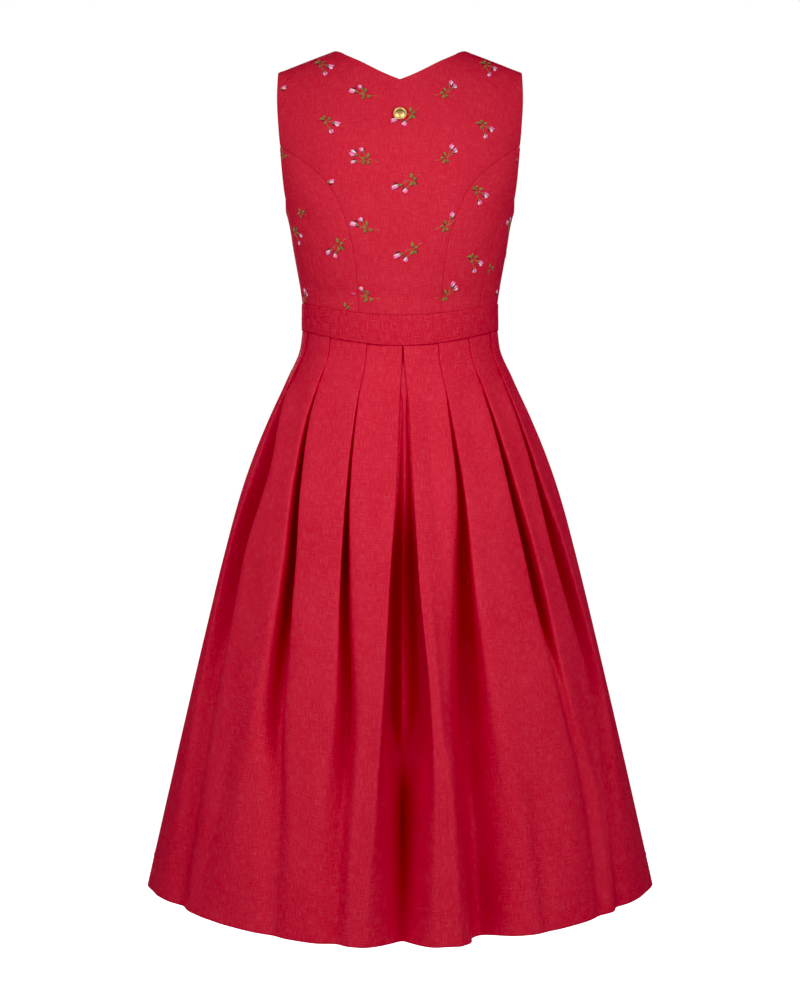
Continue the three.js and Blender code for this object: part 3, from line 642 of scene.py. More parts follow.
def bodice_panel(name, cut, columns, rows, sewn, top_edge, lift=None):
    """The body form moved out by the relief; the sides in sewn are seams, the rest is free."""
    u, r = np.meshgrid(columns, rows, indexing="ij")
    angle, height = cut(u, r)
    points, out = body_point(angle, height), body_out(angle, height)
    across, upwards = run_length(points, 0), run_length(points, 1)
    top_away = upwards[:, -1:] - upwards
    to_shoulder = top_edge == "shoulder"
    relief = crease_relief(angle, height) - WAIST_TURNED * bell(upwards, WAIST_TURN_HIGH)
    relief += neck_or_shoulder(u, top_away) if to_shoulder else edge_roll(top_away)
    for side, away in (("left", across), ("right", across[-1:] - across)):
        seam = (side in sewn) & ((r <= NOTCH) | (not to_shoulder))
        relief += np.where(seam, seam_relief(away, upwards), edge_roll(away))
    if lift is not None:
        relief = relief + lift(points[..., 0])
    points = points + out * relief[..., None]
    turned = (grid_normals(points) * out).sum() < 0
    piece = sheet_mesh(name, points, flat_map(points), turned)
    thicken(piece, BODICE_CLOTH, -1, CUT_ROUNDING)
    print(f"{name}: {points.shape[0]} x {points.shape[1]} points, relief "
          f"{relief.min() * 1000:.2f} to {relief.max() * 1000:.2f} mm")
    return piece, points


def neck_or_shoulder(u, away):
    """The top of a middle panel: a pressed seam along the shoulder, a faced neckline between."""
    low, high = SHOULDER_STOPS
    neck = between(u, low - 0.01, low + 0.01, high - 0.01, high + 0.01)
    return neck * edge_roll(away) + (1 - neck) * seam_relief(away, u * 0.2)


def edge_steps(count):
    """Places across a panel, crowded towards both of its edges."""
    near = np.array([0, 0.004, 0.009, 0.016, 0.026, 0.04, 0.06])
    return np.concatenate([near, np.linspace(0.06, 0.94, count)[1:-1], 1 - near[::-1]])


PANEL_ROWS = np.unique(np.concatenate([
    steps(0, (NOTCH, 62), (1, 56)), [0.004, 0.010, 0.972, 0.980, 0.986, 0.991, 0.995, 0.998]]))
SIDE_ROWS = edge_steps(60)


# %% The back
def back_rise(r):
    """How far up the middle back a row lies, as a share of the height of its edge."""
    low, high = back_edge(START)[1], back_edge(END)[1]
    return (back_edge(r)[1] - low) / (high - low)


def back_top(u):
    """Shoulder and nape on the left half, and their mirror image on the right half."""
    left = shoulder_and_nape(np.minimum(2 * u, 1))
    right = mirrored(shoulder_and_nape(np.minimum(2 - 2 * u, 1)))
    return [np.where(u <= 0.5, a, b) for a, b in zip(left, right)]


back_columns = np.unique(np.concatenate([
    steps(0, (SHOULDER_STOPS[0], 24), (0.5, 26), (SHOULDER_STOPS[1], 26), (1, 24)),
    [0.004, 0.012, 0.02, 0.98, 0.988, 0.996]]))
bodice = {"back_centre": bodice_panel(
    "back_middle_panel", filled_in(back_edge, lambda r: mirrored(back_edge(r)), back_top, back_rise),
    back_columns, PANEL_ROWS, ("left", "right"), "shoulder")}

# %% The sides
SIDE_CUTS = {
    "back": (filled_in(side_seam, back_princess,
                       lambda u: underarm(mix(SIDE_SEAM_ALONG, 0, u))), edge_steps(26)),
    "front": (filled_in(front_princess, side_seam,
                        lambda u: underarm(mix(1, SIDE_SEAM_ALONG, u))), edge_steps(44)),
}


def on_hand(word, cut):
    """The cut itself for the wearer's left, its mirror image for the right."""
    return cut if word == "left" else lambda u, r: mirrored(cut(u, r))


for word in ("left", "right"):
    for part, (cut, columns) in SIDE_CUTS.items():
        bodice[f"{part}_side_{word}"] = bodice_panel(
            f"{part}_side_panel_{word}", on_hand(word, cut), columns, SIDE_ROWS,
            ("left", "right"), "faced")

# %% The hidden front
LAP_RISE = (-0.048, -0.024)


def shoulder_line(u):
    """The top edge of a middle front: the shoulder seam alone."""
    x = mix(SHOULDER_TIP, NECK_HALF, u)
    return on_body(x, shoulder_height(x), FRONT)


def lap_climb(x):
    """The right front climbs onto the left one, by one cloth and the gap between them."""
    return smooth(x, *LAP_RISE) * (BODICE_CLOTH + LAP_GAP)


front_cut = filled_in(front_edge, closing_and_neck, shoulder_line)
for word, lift in (("left", None), ("right", lap_climb)):
    bodice[f"front_centre_{word}"] = bodice_panel(
        f"front_middle_panel_{word}", on_hand(word, front_cut), edge_steps(52), PANEL_ROWS,
        ("left",), "shoulder", lift)

# %% [markdown]
# ## The waistband
#
# The band is one strip, folded lengthways and pressed, so both long edges are soft folds and no
# cut edge shows. It goes once round the waist and laps over its own start at the front. A
# profile carried along a path is the plain way to say that: a flat loop with half-round edges,
# moved round the oval of the waist, and closed to a fold at both ends.

# %% The band's loop
BAND_HALF_WIDTH, BAND_HALF_DEPTH, BAND_CLOTH = 0.1248, 0.0978, 0.0030
LAP_START, LAP_END = 0.15, 0.02     # where the band climbs onto its own start, in radians


def band_loop(face, turns):
    """A flat loop, (depth 0..1, rise 0..1, roundness): two faces and the half circles between."""
    turn = np.linspace(0, np.pi, turns)[1:-1]
    inner, outer = np.zeros(face), np.ones(face)
    climb = np.linspace(0, 1, face)
    rise = np.concatenate([climb, np.ones(turns - 2), climb[::-1], np.zeros(turns - 2)])
    depth = np.concatenate([inner, (1 - np.cos(turn)) / 2, outer, (1 + np.cos(turn)) / 2])
    swell = np.concatenate([inner, np.sin(turn), inner, -np.sin(turn)])
    return depth, rise, swell


def band_waves(angle, rise):
    """Faint ripples of a worn band: three sines of unlike lengths, half a millimetre at most."""
    return (0.00016 * np.sin(angle * 23 + 2.0 * rise) * np.sin(rise * np.pi)
            + 0.00012 * np.sin(angle * 41 - 5.0 * rise + 1.0)
            + 0.00018 * np.sin(angle * 9.3 + 3.0) * rise)


print("points of the loop:", band_loop(15, 7)[0].size)

# %% The band's path
def waistband():
    """Points[path, loop]: oval + climb at the lap - depth x cloth, heights between two lines."""
    reach, rounding = np.arcsin(FRONT_LAP / BAND_HALF_WIDTH), BAND_CLOTH / 2
    start, end = -np.pi / 2 - reach, 3 * np.pi / 2 + reach
    angle = np.linspace(start, end, 360)[:, None]
    from_end = np.minimum(angle - start, end - angle) * BAND_HALF_WIDTH / rounding
    thin = np.sqrt(1 - (1 - np.clip(from_end, 0, 1)) ** 2)
    top = end - 2 * reach
    climb = smooth(angle, top - LAP_START, top - LAP_END) * (BAND_CLOTH + LAP_GAP)
    depth, rise, swell = (part[None] for part in band_loop(15, 7))
    low = edge_height(BAND_BOTTOM, angle) + rounding - WAIST_GAP / 2
    high = edge_height(BAND_TOP, angle) - rounding
    height = mix(low, high, rise) + swell * rounding * thin
    sunk = (0.5 + (depth - 0.5) * thin) * BAND_CLOTH
    off = climb - sunk + band_waves(angle, rise) * (1 - depth)
    way, size = np.stack([np.cos(angle), np.sin(angle)], -1), (BAND_HALF_WIDTH, BAND_HALF_DEPTH)
    flat = way * size + unit(way / size) * off[..., None]
    points = np.concatenate([flat, height[..., None]], -1)
    return np.concatenate([points, points[:, :1]], 1)


# %% Close and build the band
def welded(piece, distance=1e-6):
    """Joins the points of a closed skin that lie on each other, and turns its faces outwards."""
    work = bmesh.new()
    work.from_mesh(piece.data)
    bmesh.ops.remove_doubles(work, verts=work.verts, dist=distance)
    bmesh.ops.dissolve_degenerate(work, edges=work.edges, dist=distance)
    bmesh.ops.recalc_face_normals(work, faces=work.faces)
    work.to_mesh(piece.data)
    work.free()


band_points = waistband()
band = sheet_mesh("waist_band", band_points, flat_map(band_points))
welded(band)

# %% [markdown]
# ## The pleated skirt
#
# The skirt is straight linen laid into pleats at the waist. Left of the middle the pleats point
# to the right and right of it to the left, so that two of them meet in a box pleat down the
# middle of the back. A pleat starts as three flat layers, stops overlapping some 60 mm below the
# band, opens into a groove with rounded edges, and is a soft trough by the hem. Each fold is
# therefore a row of a table: the angle of its edge at seven heights, the way it faces, and how
# wide and deep its groove is. The flats between two folds hang like a rope between two posts.

# %% The skirt's sizes
SKIRT_CLOTH, SKIRT_LENGTH, HEM_TURNED, HEM_RADIUS = 0.0008, 0.70, 0.038, 0.0008
HEM_LINE = 1 - HEM_TURNED / SKIRT_LENGTH
SKIRT_DEPTH_RATIO = 0.782
LAP, STACK, FACE_SAG = 0.014, 0.0028, 0.003     # a shut fold's overlap and depth; a flat's sag
SKIRT_FORM = table(
    "down half_width",
    (0, 124), (0.03, 126.5), (0.09, 144.5), (0.16, 167), (0.23, 187), (0.3, 203.5), (0.4, 222.5),
    (0.55, 248), (0.75, 280.5), (1, 320),
    plain="down",
)
print("the hem's oval is", round(2 * SKIRT_FORM["half_width"][-1], 3), "m wide")

# %% The folds
STATIONS = {"waist": 0, "band": 0.05, "hip": 0.11, "seat": 0.25, "thigh": 0.4, "knee": 0.62,
            "shin": 0.8, "hem": 1}
PLACES = "hip seat thigh knee shin hem"
ANGLES = f"waist {PLACES} facing shelf paired"
SIZES = " ".join(f"{size}_{place}" for size in ("wide", "deep") for place in PLACES.split())
# Each fold: the angle of its edge at seven heights; the way it faces, how far its far edge lies
# in, and whether it is one of the middle pair; then its groove's width and its depth at six.
FOLDS = {name: table(f"{ANGLES} {SIZES}", *rows, plain=ANGLES) for name, rows in {
    "skirt_back": (
        (20, 15.5, 17, 13.5, 15, 20, 26, 1, 0.1, 0, 5, 34, 40, 52, 48, 44, 9, 40, 52, 26, 20, 12),
        (45, 43.4, 46.9, 50, 50.6, 54.5, 57, 1, 0.12, 0, 3, 8, 13, 25, 36, 40, 10, 38, 50, 34, 12, 7),
        (70.4, 69, 70.2, 71.3, 73, 71.6, 72.3, 1, 0.25, 0, 2, 4, 10, 22, 34, 34, 5, 14, 34, 34, 20, 12),
        (91.2, 89.5, 88.7, 87.3, 86, 84.2, 82, 1, 0.62, 1, 7, 10, 14, 20, 33, 46, 6, 16, 54, 62, 76, 50),
        (92, 94.3, 94.8, 95.6, 98, 98.4, 98, -1, 0.62, 1, 5, 9, 18, 30, 38, 40, 6, 18, 54, 60, 76, 50),
        (112.9, 114, 114, 113.4, 114.5, 117.5, 119, -1, 0.3, 0, 3, 8, 21, 44, 66, 80, 5, 20, 42, 60, 52, 36),
        (134.2, 136.6, 137.2, 139.8, 142.2, 146, 143, -1, 0.12, 0, 3, 8, 13, 16, 28, 30, 10, 36, 48, 8, 8, 5),
        (158, 156, 154.5, 160, 166.5, 159.5, 152, -1, 0.1, 0, 3, 8, 26, 34, 34, 34, 8, 34, 52, 26, 16, 9),
    ),
    "skirt_front_right": (
        (187, 188, 189, 190, 191, 190, 191, 1, 0.2, 0, 3, 7, 18, 30, 38, 44, 8, 22, 26, 16, 12, 8),
        (209, 209.5, 209, 209, 210, 211, 210, 1, 0.12, 0, 3, 8, 14, 30, 42, 50, 10, 30, 34, 20, 15, 10),
        (231, 230, 229.5, 229, 228, 228, 227, 1, 0.3, 0, 2, 6, 16, 28, 36, 46, 7, 22, 26, 16, 12, 8),
        (253, 252, 251, 250, 248, 249, 248.5, 1, 0.15, 0, 3, 9, 15, 34, 44, 52, 10, 32, 34, 26, 20, 14),
    ),
    "skirt_front_left": (
        (287, 288, 290, 291, 292.5, 294, 293, -1, 0.15, 0, 3, 8, 16, 36, 48, 56, 9, 28, 32, 22, 17, 12),
        (309, 309, 310.5, 311, 312, 311.5, 312, -1, 0.3, 0, 3, 9, 14, 28, 40, 48, 10, 30, 36, 18, 13, 9),
        (331, 332.5, 332, 332, 331, 330, 331, -1, 0.12, 0, 2, 6, 17, 30, 38, 44, 7, 22, 26, 17, 14, 10),
        (353, 352, 351.5, 351, 350, 350.5, 349, -1, 0.2, 0, 3, 7, 18, 30, 36, 42, 8, 24, 26, 14, 11, 7),
    ),
}.items()}
# From and to in degrees, first at the waist and then at the hem.
SKIRT_SEAMS = {
    "skirt_back": (7, 173, 8, 174),
    "skirt_front_right": (173, 270, 174, 270),
    "skirt_front_left": (270, 367, 270, 368),
}


print("folds:", {name: len(rows["waist"]) for name, rows in FOLDS.items()})

# %% How a fold lies
def corners(across, sunk):
    """Where a fold's four corners lie, as shares of its groove's width and depth."""
    return np.array([across, sunk], float)[..., None]


SHUT = corners((0, 0, 1, 1), (0, 0.4, 0.6, 1))              # pressed flat, in three layers
OPEN = corners((0, 0.2, 0.6, 1), (0, 0.85, 1, 0))           # a groove under the lip
SLACK = corners((0, 0.45, 0.65, 1), (0, 1, 1, 0))           # a trough, further down
PAIRED = corners((0, 0.30, 0.72, 1), (0, 0.13, 0.66, 1))    # half of the middle pair's trough
SHELF = corners((0, 0, 0, 0), (0, 0, 0, 1))                 # how the far edge moves in
SLACK_FROM, SLACK_FULL = 0.60, 0.80
UNDERCUT = ((0, 0), (0.11, 0.1), (0.25, 0.34), (0.42, 0.34), (0.7, 0.1), (1, 0))
UNDERCUT_CORNERS = np.array([0, 1.0, 0.6, 0])    # the lip of a pressed fold hangs over its groove
print("corners of an open groove:", OPEN[..., 0].tolist())

# %% [markdown]
# Between the pleats the real skirt is not quite regular. A second, shallow trough runs beside
# the box pleat, a long slanting crease crosses the lower right, and the hem steps inwards beside
# the strongest ridge. They come on top of the pleats, as rows like those of the bodice: from
# one angle and share of the length to another, so wide and so deep.

# %% Soft folds between the pleats
SOFT_FOLDS = table(
    "angle_a down_a angle_b down_b width depth",
    (102.5, 0.14, 105.5, 0.46, 9, -3.2), (106, 0.2, 107, 0.5, 10, 1.6),
    (119, 0.73, 132, 0.86, 8, -3), (124.5, 0.78, 124, 1.02, 9, -3.2), (120, 0.8, 121, 1, 9, 2.4),
    (134.5, 0.7, 134, 1, 14, 2.6), (102.4, 0.7, 102.8, 1.05, 8, 4), (100.3, 0.74, 99.3, 1, 5, -2),
    (98.3, 0.36, 102.2, 0.76, 5, 3.4), (97, 0.4, 100.2, 0.72, 4, -1.6),
    (86.9, 0.38, 82.5, 0.98, 5, 2.2), (41.5, 0.66, 39, 0.98, 10, -2.6), (48, 0.56, 48, 1, 15, 3.4),
    (57, 0.42, 56, 0.66, 14, -1.6), (68, 0.66, 68, 0.98, 16, 1.6), (80, 0.7, 80, 0.95, 7, -1.8),
    (36, 0.36, 38, 0.6, 15, -1.8), (150, 0.52, 150.5, 0.72, 15, -1.6),
    (14, 0.45, 15, 0.85, 14, -1.2), (180, 0.4, 181, 0.86, 15, -2.2), (199, 0.3, 201, 0.8, 14, -2.4),
    (219, 0.52, 218, 0.95, 16, 2), (240, 0.46, 238, 0.88, 15, -2.3), (262, 0.3, 258, 0.78, 14, -2),
    (277, 0.34, 281, 0.84, 16, -2.4), (301, 0.5, 302, 0.93, 16, 2), (321, 0.4, 322, 0.85, 15, -2.2),
    (340, 0.48, 341, 0.9, 14, 1.9), (232, 0.72, 246, 0.84, 9, -2), (314, 0.76, 300, 0.88, 9, -1.8),
    plain="angle_a down_a angle_b down_b",
)
FOLD_FADE = -0.25, 0.35, 0.65, 1.25
STEP_ANGLE, STEP_DEPTH, STEP_STARTS = np.radians(105.6), 0.019, 0.80
STEP_SPAN = 0, 0.010, 0.018, 0.060      # in metres round from the step's angle


print(len(SOFT_FOLDS["depth"]), "soft folds")

# %% Relief of the soft folds
def oval_speed(angle, down):
    """Metres of skirt for one radian: the length of the oval's tangent."""
    a = read(SKIRT_FORM, "down", down, "half_width")
    return a * np.hypot(np.sin(angle), SKIRT_DEPTH_RATIO * np.cos(angle))


def soft_relief(angle, down):
    """depth x bell(distance round the skirt) x fade at both ends, summed; and the hem's step."""
    per_radian = oval_speed(angle, down)
    relief = np.zeros(angle.shape)
    for a0, d0, a1, d1, width, depth in zip(*SOFT_FOLDS.values()):
        t = (down - d0) / (d1 - d0)
        away = (angle - np.radians(mix(a0, a1, np.clip(t, -0.3, 1.3)))) * per_radian
        relief += depth * between(t, *FOLD_FADE) * bell(away, width)
    past = (angle - STEP_ANGLE) * per_radian
    relief -= STEP_DEPTH * smooth(down, STEP_STARTS, 1.0) * between(past, *STEP_SPAN)
    stir = 0.0006 * smooth(down, 0.1, 0.4)
    relief += stir * np.sin(angle * 31 + 6 * np.sin(down * 5)) * np.sin(down * 17 + 2 * angle)
    return relief


# %% Values down the skirt
def stages(down, *steps_down):
    """A value given at a few heights, joined by a curve that never overshoots."""
    at, value = np.array(steps_down, float).T
    return read({"down": at, "value": value}, "down", down, "value")


def at_stations(down, values, *above):
    """A row's values at the stations named in it, and any values further up, joined smoothly."""
    below = [(STATIONS[name.split("_")[-1]], value) for name, value in values]
    return stages(down, *above, *below)


print("undercut a third of the way down:", stages(1 / 3, *UNDERCUT).round(3))

# %% The corners of a fold
def fold_corners(fold, down):
    """Angle and depth of a fold's four corners: shut, then an open groove, then a slack trough."""
    def sizes(word, at_waist, at_band):
        """The groove's width or depth down the skirt, with its sizes at the waist and band."""
        given = [pair for pair in fold.items() if word in pair[0]]
        return at_stations(down, given, (0, at_waist), (STATIONS["band"], at_band))

    edge = np.radians(at_stations(down, [pair for pair in fold.items() if pair[0] in STATIONS]))
    wide, deep = sizes("wide", -LAP, -LAP / 2), sizes("deep", STACK, STACK)
    opened, slack = smooth(wide, -0.003, 0.005), smooth(down, SLACK_FROM, SLACK_FULL)
    low = mix(SLACK, PAIRED, fold["paired"])
    across, sunk = mix(SHUT, mix(OPEN + fold["shelf"] * SHELF, low, slack), opened)
    sunk = sunk * deep
    reach = wide * across - deep * stages(down, *UNDERCUT) * UNDERCUT_CORNERS[:, None]
    angle = edge + fold["facing"] * reach / oval_speed(edge, down)
    if fold["facing"] < 0:
        angle, sunk = angle[::-1], sunk[::-1]
    return angle, sunk, opened


# %% Flats, and a whole section
FLAT_STEPS, FOLD_STEPS = 18, 8


def flat_between(before, after):
    """sunk = from (1-f)^p + to f^p + sag sin^2(pi f): straight if shut, a rope's curve if open."""
    (angle_a, sunk_a, open_a), (angle_b, sunk_b, open_b) = before, after
    even = (np.arange(1, FLAT_STEPS) / FLAT_STEPS)[:, None]
    f = even - 0.10 * np.sin(2 * np.pi * even)
    wide = smooth(angle_b - angle_a, np.radians(2), np.radians(10))
    opened = wide * np.maximum(open_a, open_b)
    power = mix(1, 3, opened)
    sunk = sunk_a * (1 - f) ** power + sunk_b * f ** power
    return mix(angle_a, angle_b, f), sunk + FACE_SAG * opened * np.sin(np.pi * f) ** 2


def sections(name, down):
    """Angle and depth[column, row] of the whole panel, and which flat each column belongs to."""
    first, last, first_hem, last_hem = np.radians(SKIRT_SEAMS[name])
    zero, folds = np.zeros_like(down), FOLDS[name]
    before = mix(first, first_hem, down), zero, zero
    angles, depths, flats = [before[0][None]], [zero[None]], [0]
    ease = ((1 - np.cos(np.pi * np.arange(1, FOLD_STEPS + 1) / FOLD_STEPS)) / 2)[:, None]
    for k, row in enumerate(zip(*folds.values())):
        *pair, opened = fold_corners(dict(zip(folds, row)), down)
        flat = flat_between(before, (pair[0][0], pair[1][0], opened))
        for rows, of_flat, of_fold in zip((angles, depths), flat, pair):
            rows += [of_flat, of_fold[:1]]
            rows += [mix(a, b, ease) for a, b in zip(of_fold, of_fold[1:])]
        shown = 2 if folds["facing"][k] > 0 else 1
        flats += [k] * (FLAT_STEPS + shown * FOLD_STEPS) + [k + 1] * ((3 - shown) * FOLD_STEPS)
        before = pair[0][3], pair[1][3], opened
    end = mix(last, last_hem, down), zero, zero
    for rows, of_flat, at_end in zip((angles, depths), flat_between(before, end), end):
        rows += [of_flat, at_end[None]]
    flats += [k + 1] * FLAT_STEPS
    return np.concatenate(angles), np.concatenate(depths), np.array(flats)


# %% [markdown]
# The corners of the folds are rounded by averaging. In each pass a point moves to the mean of
# itself and its two neighbours, and the passes are rationed by height: one or two at the waist,
# where the iron has been, and dozens at the hem, where the cloth is free.

# %% Rounding
ROUNDING = ((0, 1.0), (0.11, 2.0), (0.3, 4), (0.42, 6), (0.62, 16), (1, 40))


def rounded(values, down):
    """Repeated means of neighbours along the section; the ends stay where they are sewn."""
    passes = stages(down, *ROUNDING)
    values = values.copy()
    for k in range(int(np.ceil(passes.max()))):
        share = np.clip(passes - k, 0, 1)
        mean = values[1:-1] / 2 + (values[:-2] + values[2:]) / 4
        values[1:-1] = mix(values[1:-1], mean, share)
    return values


print("means taken at the hem:", stages(1, *ROUNDING))

# %% Points of the skirt
def tucked_up(sunk):
    """The climb of a circle: r - sqrt(r^2 - (s - r)^2), r half the band and s the layer's depth."""
    r = BAND_CLOTH / 2
    s = BAND_HALF_WIDTH - read(SKIRT_FORM, "down", 0.0, "half_width") + sunk
    return r - np.sqrt(r * r - (np.clip(s, r, 2 * r) - r) ** 2)


def skirt_points(angle, down, sunk):
    """A flaring oval, its height between the band's line and the hem's, moved in by sunk."""
    a = read(SKIRT_FORM, "down", down, "half_width") - SKIRT_CLOTH / 2
    b = SKIRT_DEPTH_RATIO * a
    top = edge_height(BAND_BOTTOM, angle) - WAIST_GAP / 2 - WAIST_JOIN + tucked_up(sunk[:, :1])
    height = mix(top, edge_height(HEM, angle), down)
    out = unit(np.stack([SKIRT_DEPTH_RATIO * np.cos(angle), np.sin(angle)], -1))
    level = np.stack([a * np.cos(angle), b * np.sin(angle)], -1) - out * sunk[..., None]
    return np.concatenate([level, height[..., None]], -1)


print("the deepest layer climbs", tucked_up(STACK).round(4), "m into the band")

# %% Hem and flat map
SKIRT_ROWS = np.unique(np.concatenate([
    steps(0, (0.1, 20), (0.3, 24), (HEM_LINE - 0.01, 52), (HEM_LINE + 0.01, 6), (1, 8)), [0.002]]))
PLEAT_APART = 0.137       # shifts the weave from flat to flat, where the hidden cloth lies


def with_hem(points):
    """The same sheet goes on: a half circle round the edge, then up the inside to the hem line."""
    normal = -grid_normals(points)
    turn = np.linspace(0, np.pi, 6)[1:, None]
    down = unit(points[:, -1:] - points[:, -2:-1])
    bend = points[:, -1:] + HEM_RADIUS * (down * np.sin(turn)
                                          - normal[:, -1:] * (1 - np.cos(turn)))
    back = np.flatnonzero(SKIRT_ROWS > HEM_LINE)[::-1][1:]
    inside = points[:, back] - normal[:, back] * 2 * HEM_RADIUS
    return np.concatenate([points, bend, inside], 1)


def pleat_map(points, flats):
    """The weave runs true down the middle of each flat, and breaks where the cloth is hidden."""
    across, along = run_length(points, 0), run_length(points, 1)
    middles = [round(np.flatnonzero(flats == k).mean()) for k in range(flats.max() + 1)]
    face = flats[1:]
    centre = across[middles][face]
    shift = np.stack([centre[:, :-1]] * 2 + [centre[:, 1:]] * 2, 2)
    shift -= PLEAT_APART * face[:, None, None]
    return np.stack([corners_of(across) - shift, -corners_of(along)], -1)


def hem_ridge(down):
    """The top of the turned-up hem pushes a faint line out through the cloth: one narrow bell."""
    return 0.0006 * bell((down - HEM_LINE) * SKIRT_LENGTH, 0.0016)


print(len(SKIRT_ROWS), "rows down the skirt")

# %% Build the skirt
skirts, skirt_grids = {}, {}
for name in FOLDS:
    angle, sunk, flats = sections(name, SKIRT_ROWS)
    angle, sunk = rounded(angle, SKIRT_ROWS), rounded(sunk, SKIRT_ROWS)
    from_seam = np.minimum(np.arange(len(angle)), np.arange(len(angle))[::-1])[:, None]
    relief = soft_relief(angle, SKIRT_ROWS) * smooth(from_seam, 0, 9)
    points = skirt_points(angle, SKIRT_ROWS, sunk - relief)
    points = points - grid_normals(points) * hem_ridge(SKIRT_ROWS)[None, :, None]
    points = with_hem(points)
    skirts[name] = sheet_mesh(f"{name}_panel", points, pleat_map(points, flats), turned=True)
    thicken(skirts[name], SKIRT_CLOTH, 0)
    skirt_grids[name] = points
    print(name, points.shape, "cloth at the hem",
          round(run_length(points, 0)[-1, len(SKIRT_ROWS) - 1], 3), "m")

# %% [markdown]
# ## Buttons and stud
#
# The front closes with linen-covered buttons: a metal dome with the cloth drawn over it and
# gathered underneath, standing off the front on a shank of thread. The stud at the nape is a
# plain gilt disc with a raised rim. Both are turned shapes: a profile of radius and height goes
# round an axis that points straight out of the cloth.

# %% Profiles of button and stud
BUTTON_PROFILE = table(
    "s radius height",
    (0, 0, -1.2), (0.06, 1.2, -1.2), (0.12, 1.2, 0), (0.26, 5.6, 0.05), (0.36, 6.8, 0.35),
    (0.46, 7.35, 1.1), (0.54, 7.5, 1.8), (0.63, 7.2, 2.6), (0.73, 6.2, 3.25), (0.84, 4.3, 3.75),
    (0.93, 2, 3.97), (1, 0, 4),
    plain="s",
)
STUD_PROFILE = table(
    "s radius height",
    (0, 0, 0), (0.25, 7.6, 0), (0.32, 8.35, 0.35), (0.38, 8.5, 1), (0.44, 8.4, 1.55),
    (0.5, 7.9, 1.9), (0.56, 7.3, 1.95), (0.62, 6.85, 1.7), (0.67, 6.5, 1.5), (0.72, 6.1, 1.65),
    (0.8, 4.9, 2.45), (0.9, 2.6, 3.05), (1, 0, 3.2),
    plain="s",
)


print("heights:", BUTTON_PROFILE["height"][-1], "m and", STUD_PROFILE["height"][-1], "m")

# %% Turned shapes
def turned_shape(name, profile, place, out, rings, ripple=0.0):
    """place + radius(s) (cos t, sin t) + height(s) out, its rim gathered in rings of ripples."""
    s, t = np.linspace(0, 1, rings)[None], np.linspace(0, 2 * np.pi, 73)[:, None]
    radius, height = read(profile, "s", s, "radius"), read(profile, "s", s, "height")
    radius = radius * (1 + ripple * np.cos(24 * t) * bell(s - 0.4, 0.14))
    side = unit(np.cross(out, (0, 0, 1)))
    up = np.cross(side, out)
    points = (place + (radius * np.cos(t))[..., None] * side + (radius * np.sin(t))[..., None] * up
              + (height * np.ones_like(t))[..., None] * out)
    piece = sheet_mesh(name, points, flat_map(points))
    welded(piece)
    return piece


# %% Place the buttons and the stud
BUTTON_THREAD = 0.0010
REST_GAP = 0.0003         # between a part and the cloth that it stands on
OFF_CLOTH = LAP_GAP + BUTTON_THREAD + REST_GAP      # on top of the cloth of the front or band
FRONT_BUTTONS = (-0.188, -0.217, -0.246, -0.275, -0.304)
BAND_BUTTON, STUD_HEIGHT = -0.347, -0.0925
BUTTON_RINGS, STUD_RINGS, GATHER = 46, 60, 0.008


def off_form(angle, height, off):
    """A place at a distance off the body form, and the way out there."""
    angle, height = np.array(angle), np.array(height)
    out = body_out(angle, height)
    return body_point(angle, height) + out * off, out


button_places = {f"{k}": off_form(-np.pi / 2, height, BODICE_CLOTH + OFF_CLOTH)
                 for k, height in enumerate(FRONT_BUTTONS, 1)}
button_places["band"] = (np.array([0, -BAND_HALF_DEPTH - BAND_CLOTH - OFF_CLOTH, BAND_BUTTON]),
                         np.array([0, -1.0, 0]))
buttons = {f"button_{word}": turned_shape(f"covered_button_{word}", BUTTON_PROFILE, *place,
                                          BUTTON_RINGS, GATHER)
           for word, place in button_places.items()}
stud = turned_shape("nape_stud", STUD_PROFILE, *off_form(np.pi / 2, STUD_HEIGHT, REST_GAP),
                    STUD_RINGS)
print(len(buttons), "buttons and a stud")

# %% [markdown]
# ## Embroidered sprigs
#
# The bodice linen is embroidered all over with small sprigs before it is cut: five kinds, each
# a fan of leaves and two or three pink buds about a node, and two scraps that a seam leaves, a
# lone bud and a lone fan. Satin stitch lays threads side by side until they stand up as a small
# cushion, so a leaf or petal is a lens, thick in the middle and drawn to a point. All sprigs
# come from one rule with a few numbers each. A sprig is laid on the body form by walking its
# flat millimetres round and up from its node, and where a seam cuts through the cloth the
# stroke that would cross it is left out, as the scissors did.
# Beside each leaf and petal lies a dark lens of painted shadow.
# Down each leaf runs a lighter stroke of painted highlight.
# Each bud carries a pale stroke of painted highlight.

# %% Threads
# The fifth thread is a painted highlight on each bud.
# The last thread is painted shadow, laid beside leaves and petals.
# The third thread is a painted highlight down each leaf.
STEM, OLIVE, PAINTED_LEAF_HIGHLIGHT, PINK, PAINTED_BUD_HIGHLIGHT, MAGENTA, MAROON, PAINTED_SHADOW = range(8)


def colour(red, green, blue):
    """A screen colour from 0 to 255 turned into the light it stands for."""
    value = np.array([red, green, blue]) / 255
    return np.where(value <= 0.04045, value / 12.92, ((value + 0.055) / 1.055) ** 2.4)


# The fifth colour is that of the buds' painted highlight.
# The last colour is that of the painted shadow.
# The third colour is that of the leaves' painted highlight.
THREADS = np.array([colour(*dye) for dye in (
    (178, 118, 62), (138, 124, 44), (208, 190, 104), (255, 134, 186), (255, 208, 226),
    (240, 90, 152), (88, 8, 20), (96, 22, 14))])
THREAD_SPREAD = np.array([1.15, 1.3, 1.5, 1.35, 1.45, 1.35, 1.3, 1.3])   # how far each fills out
print(len(THREADS), "threads")

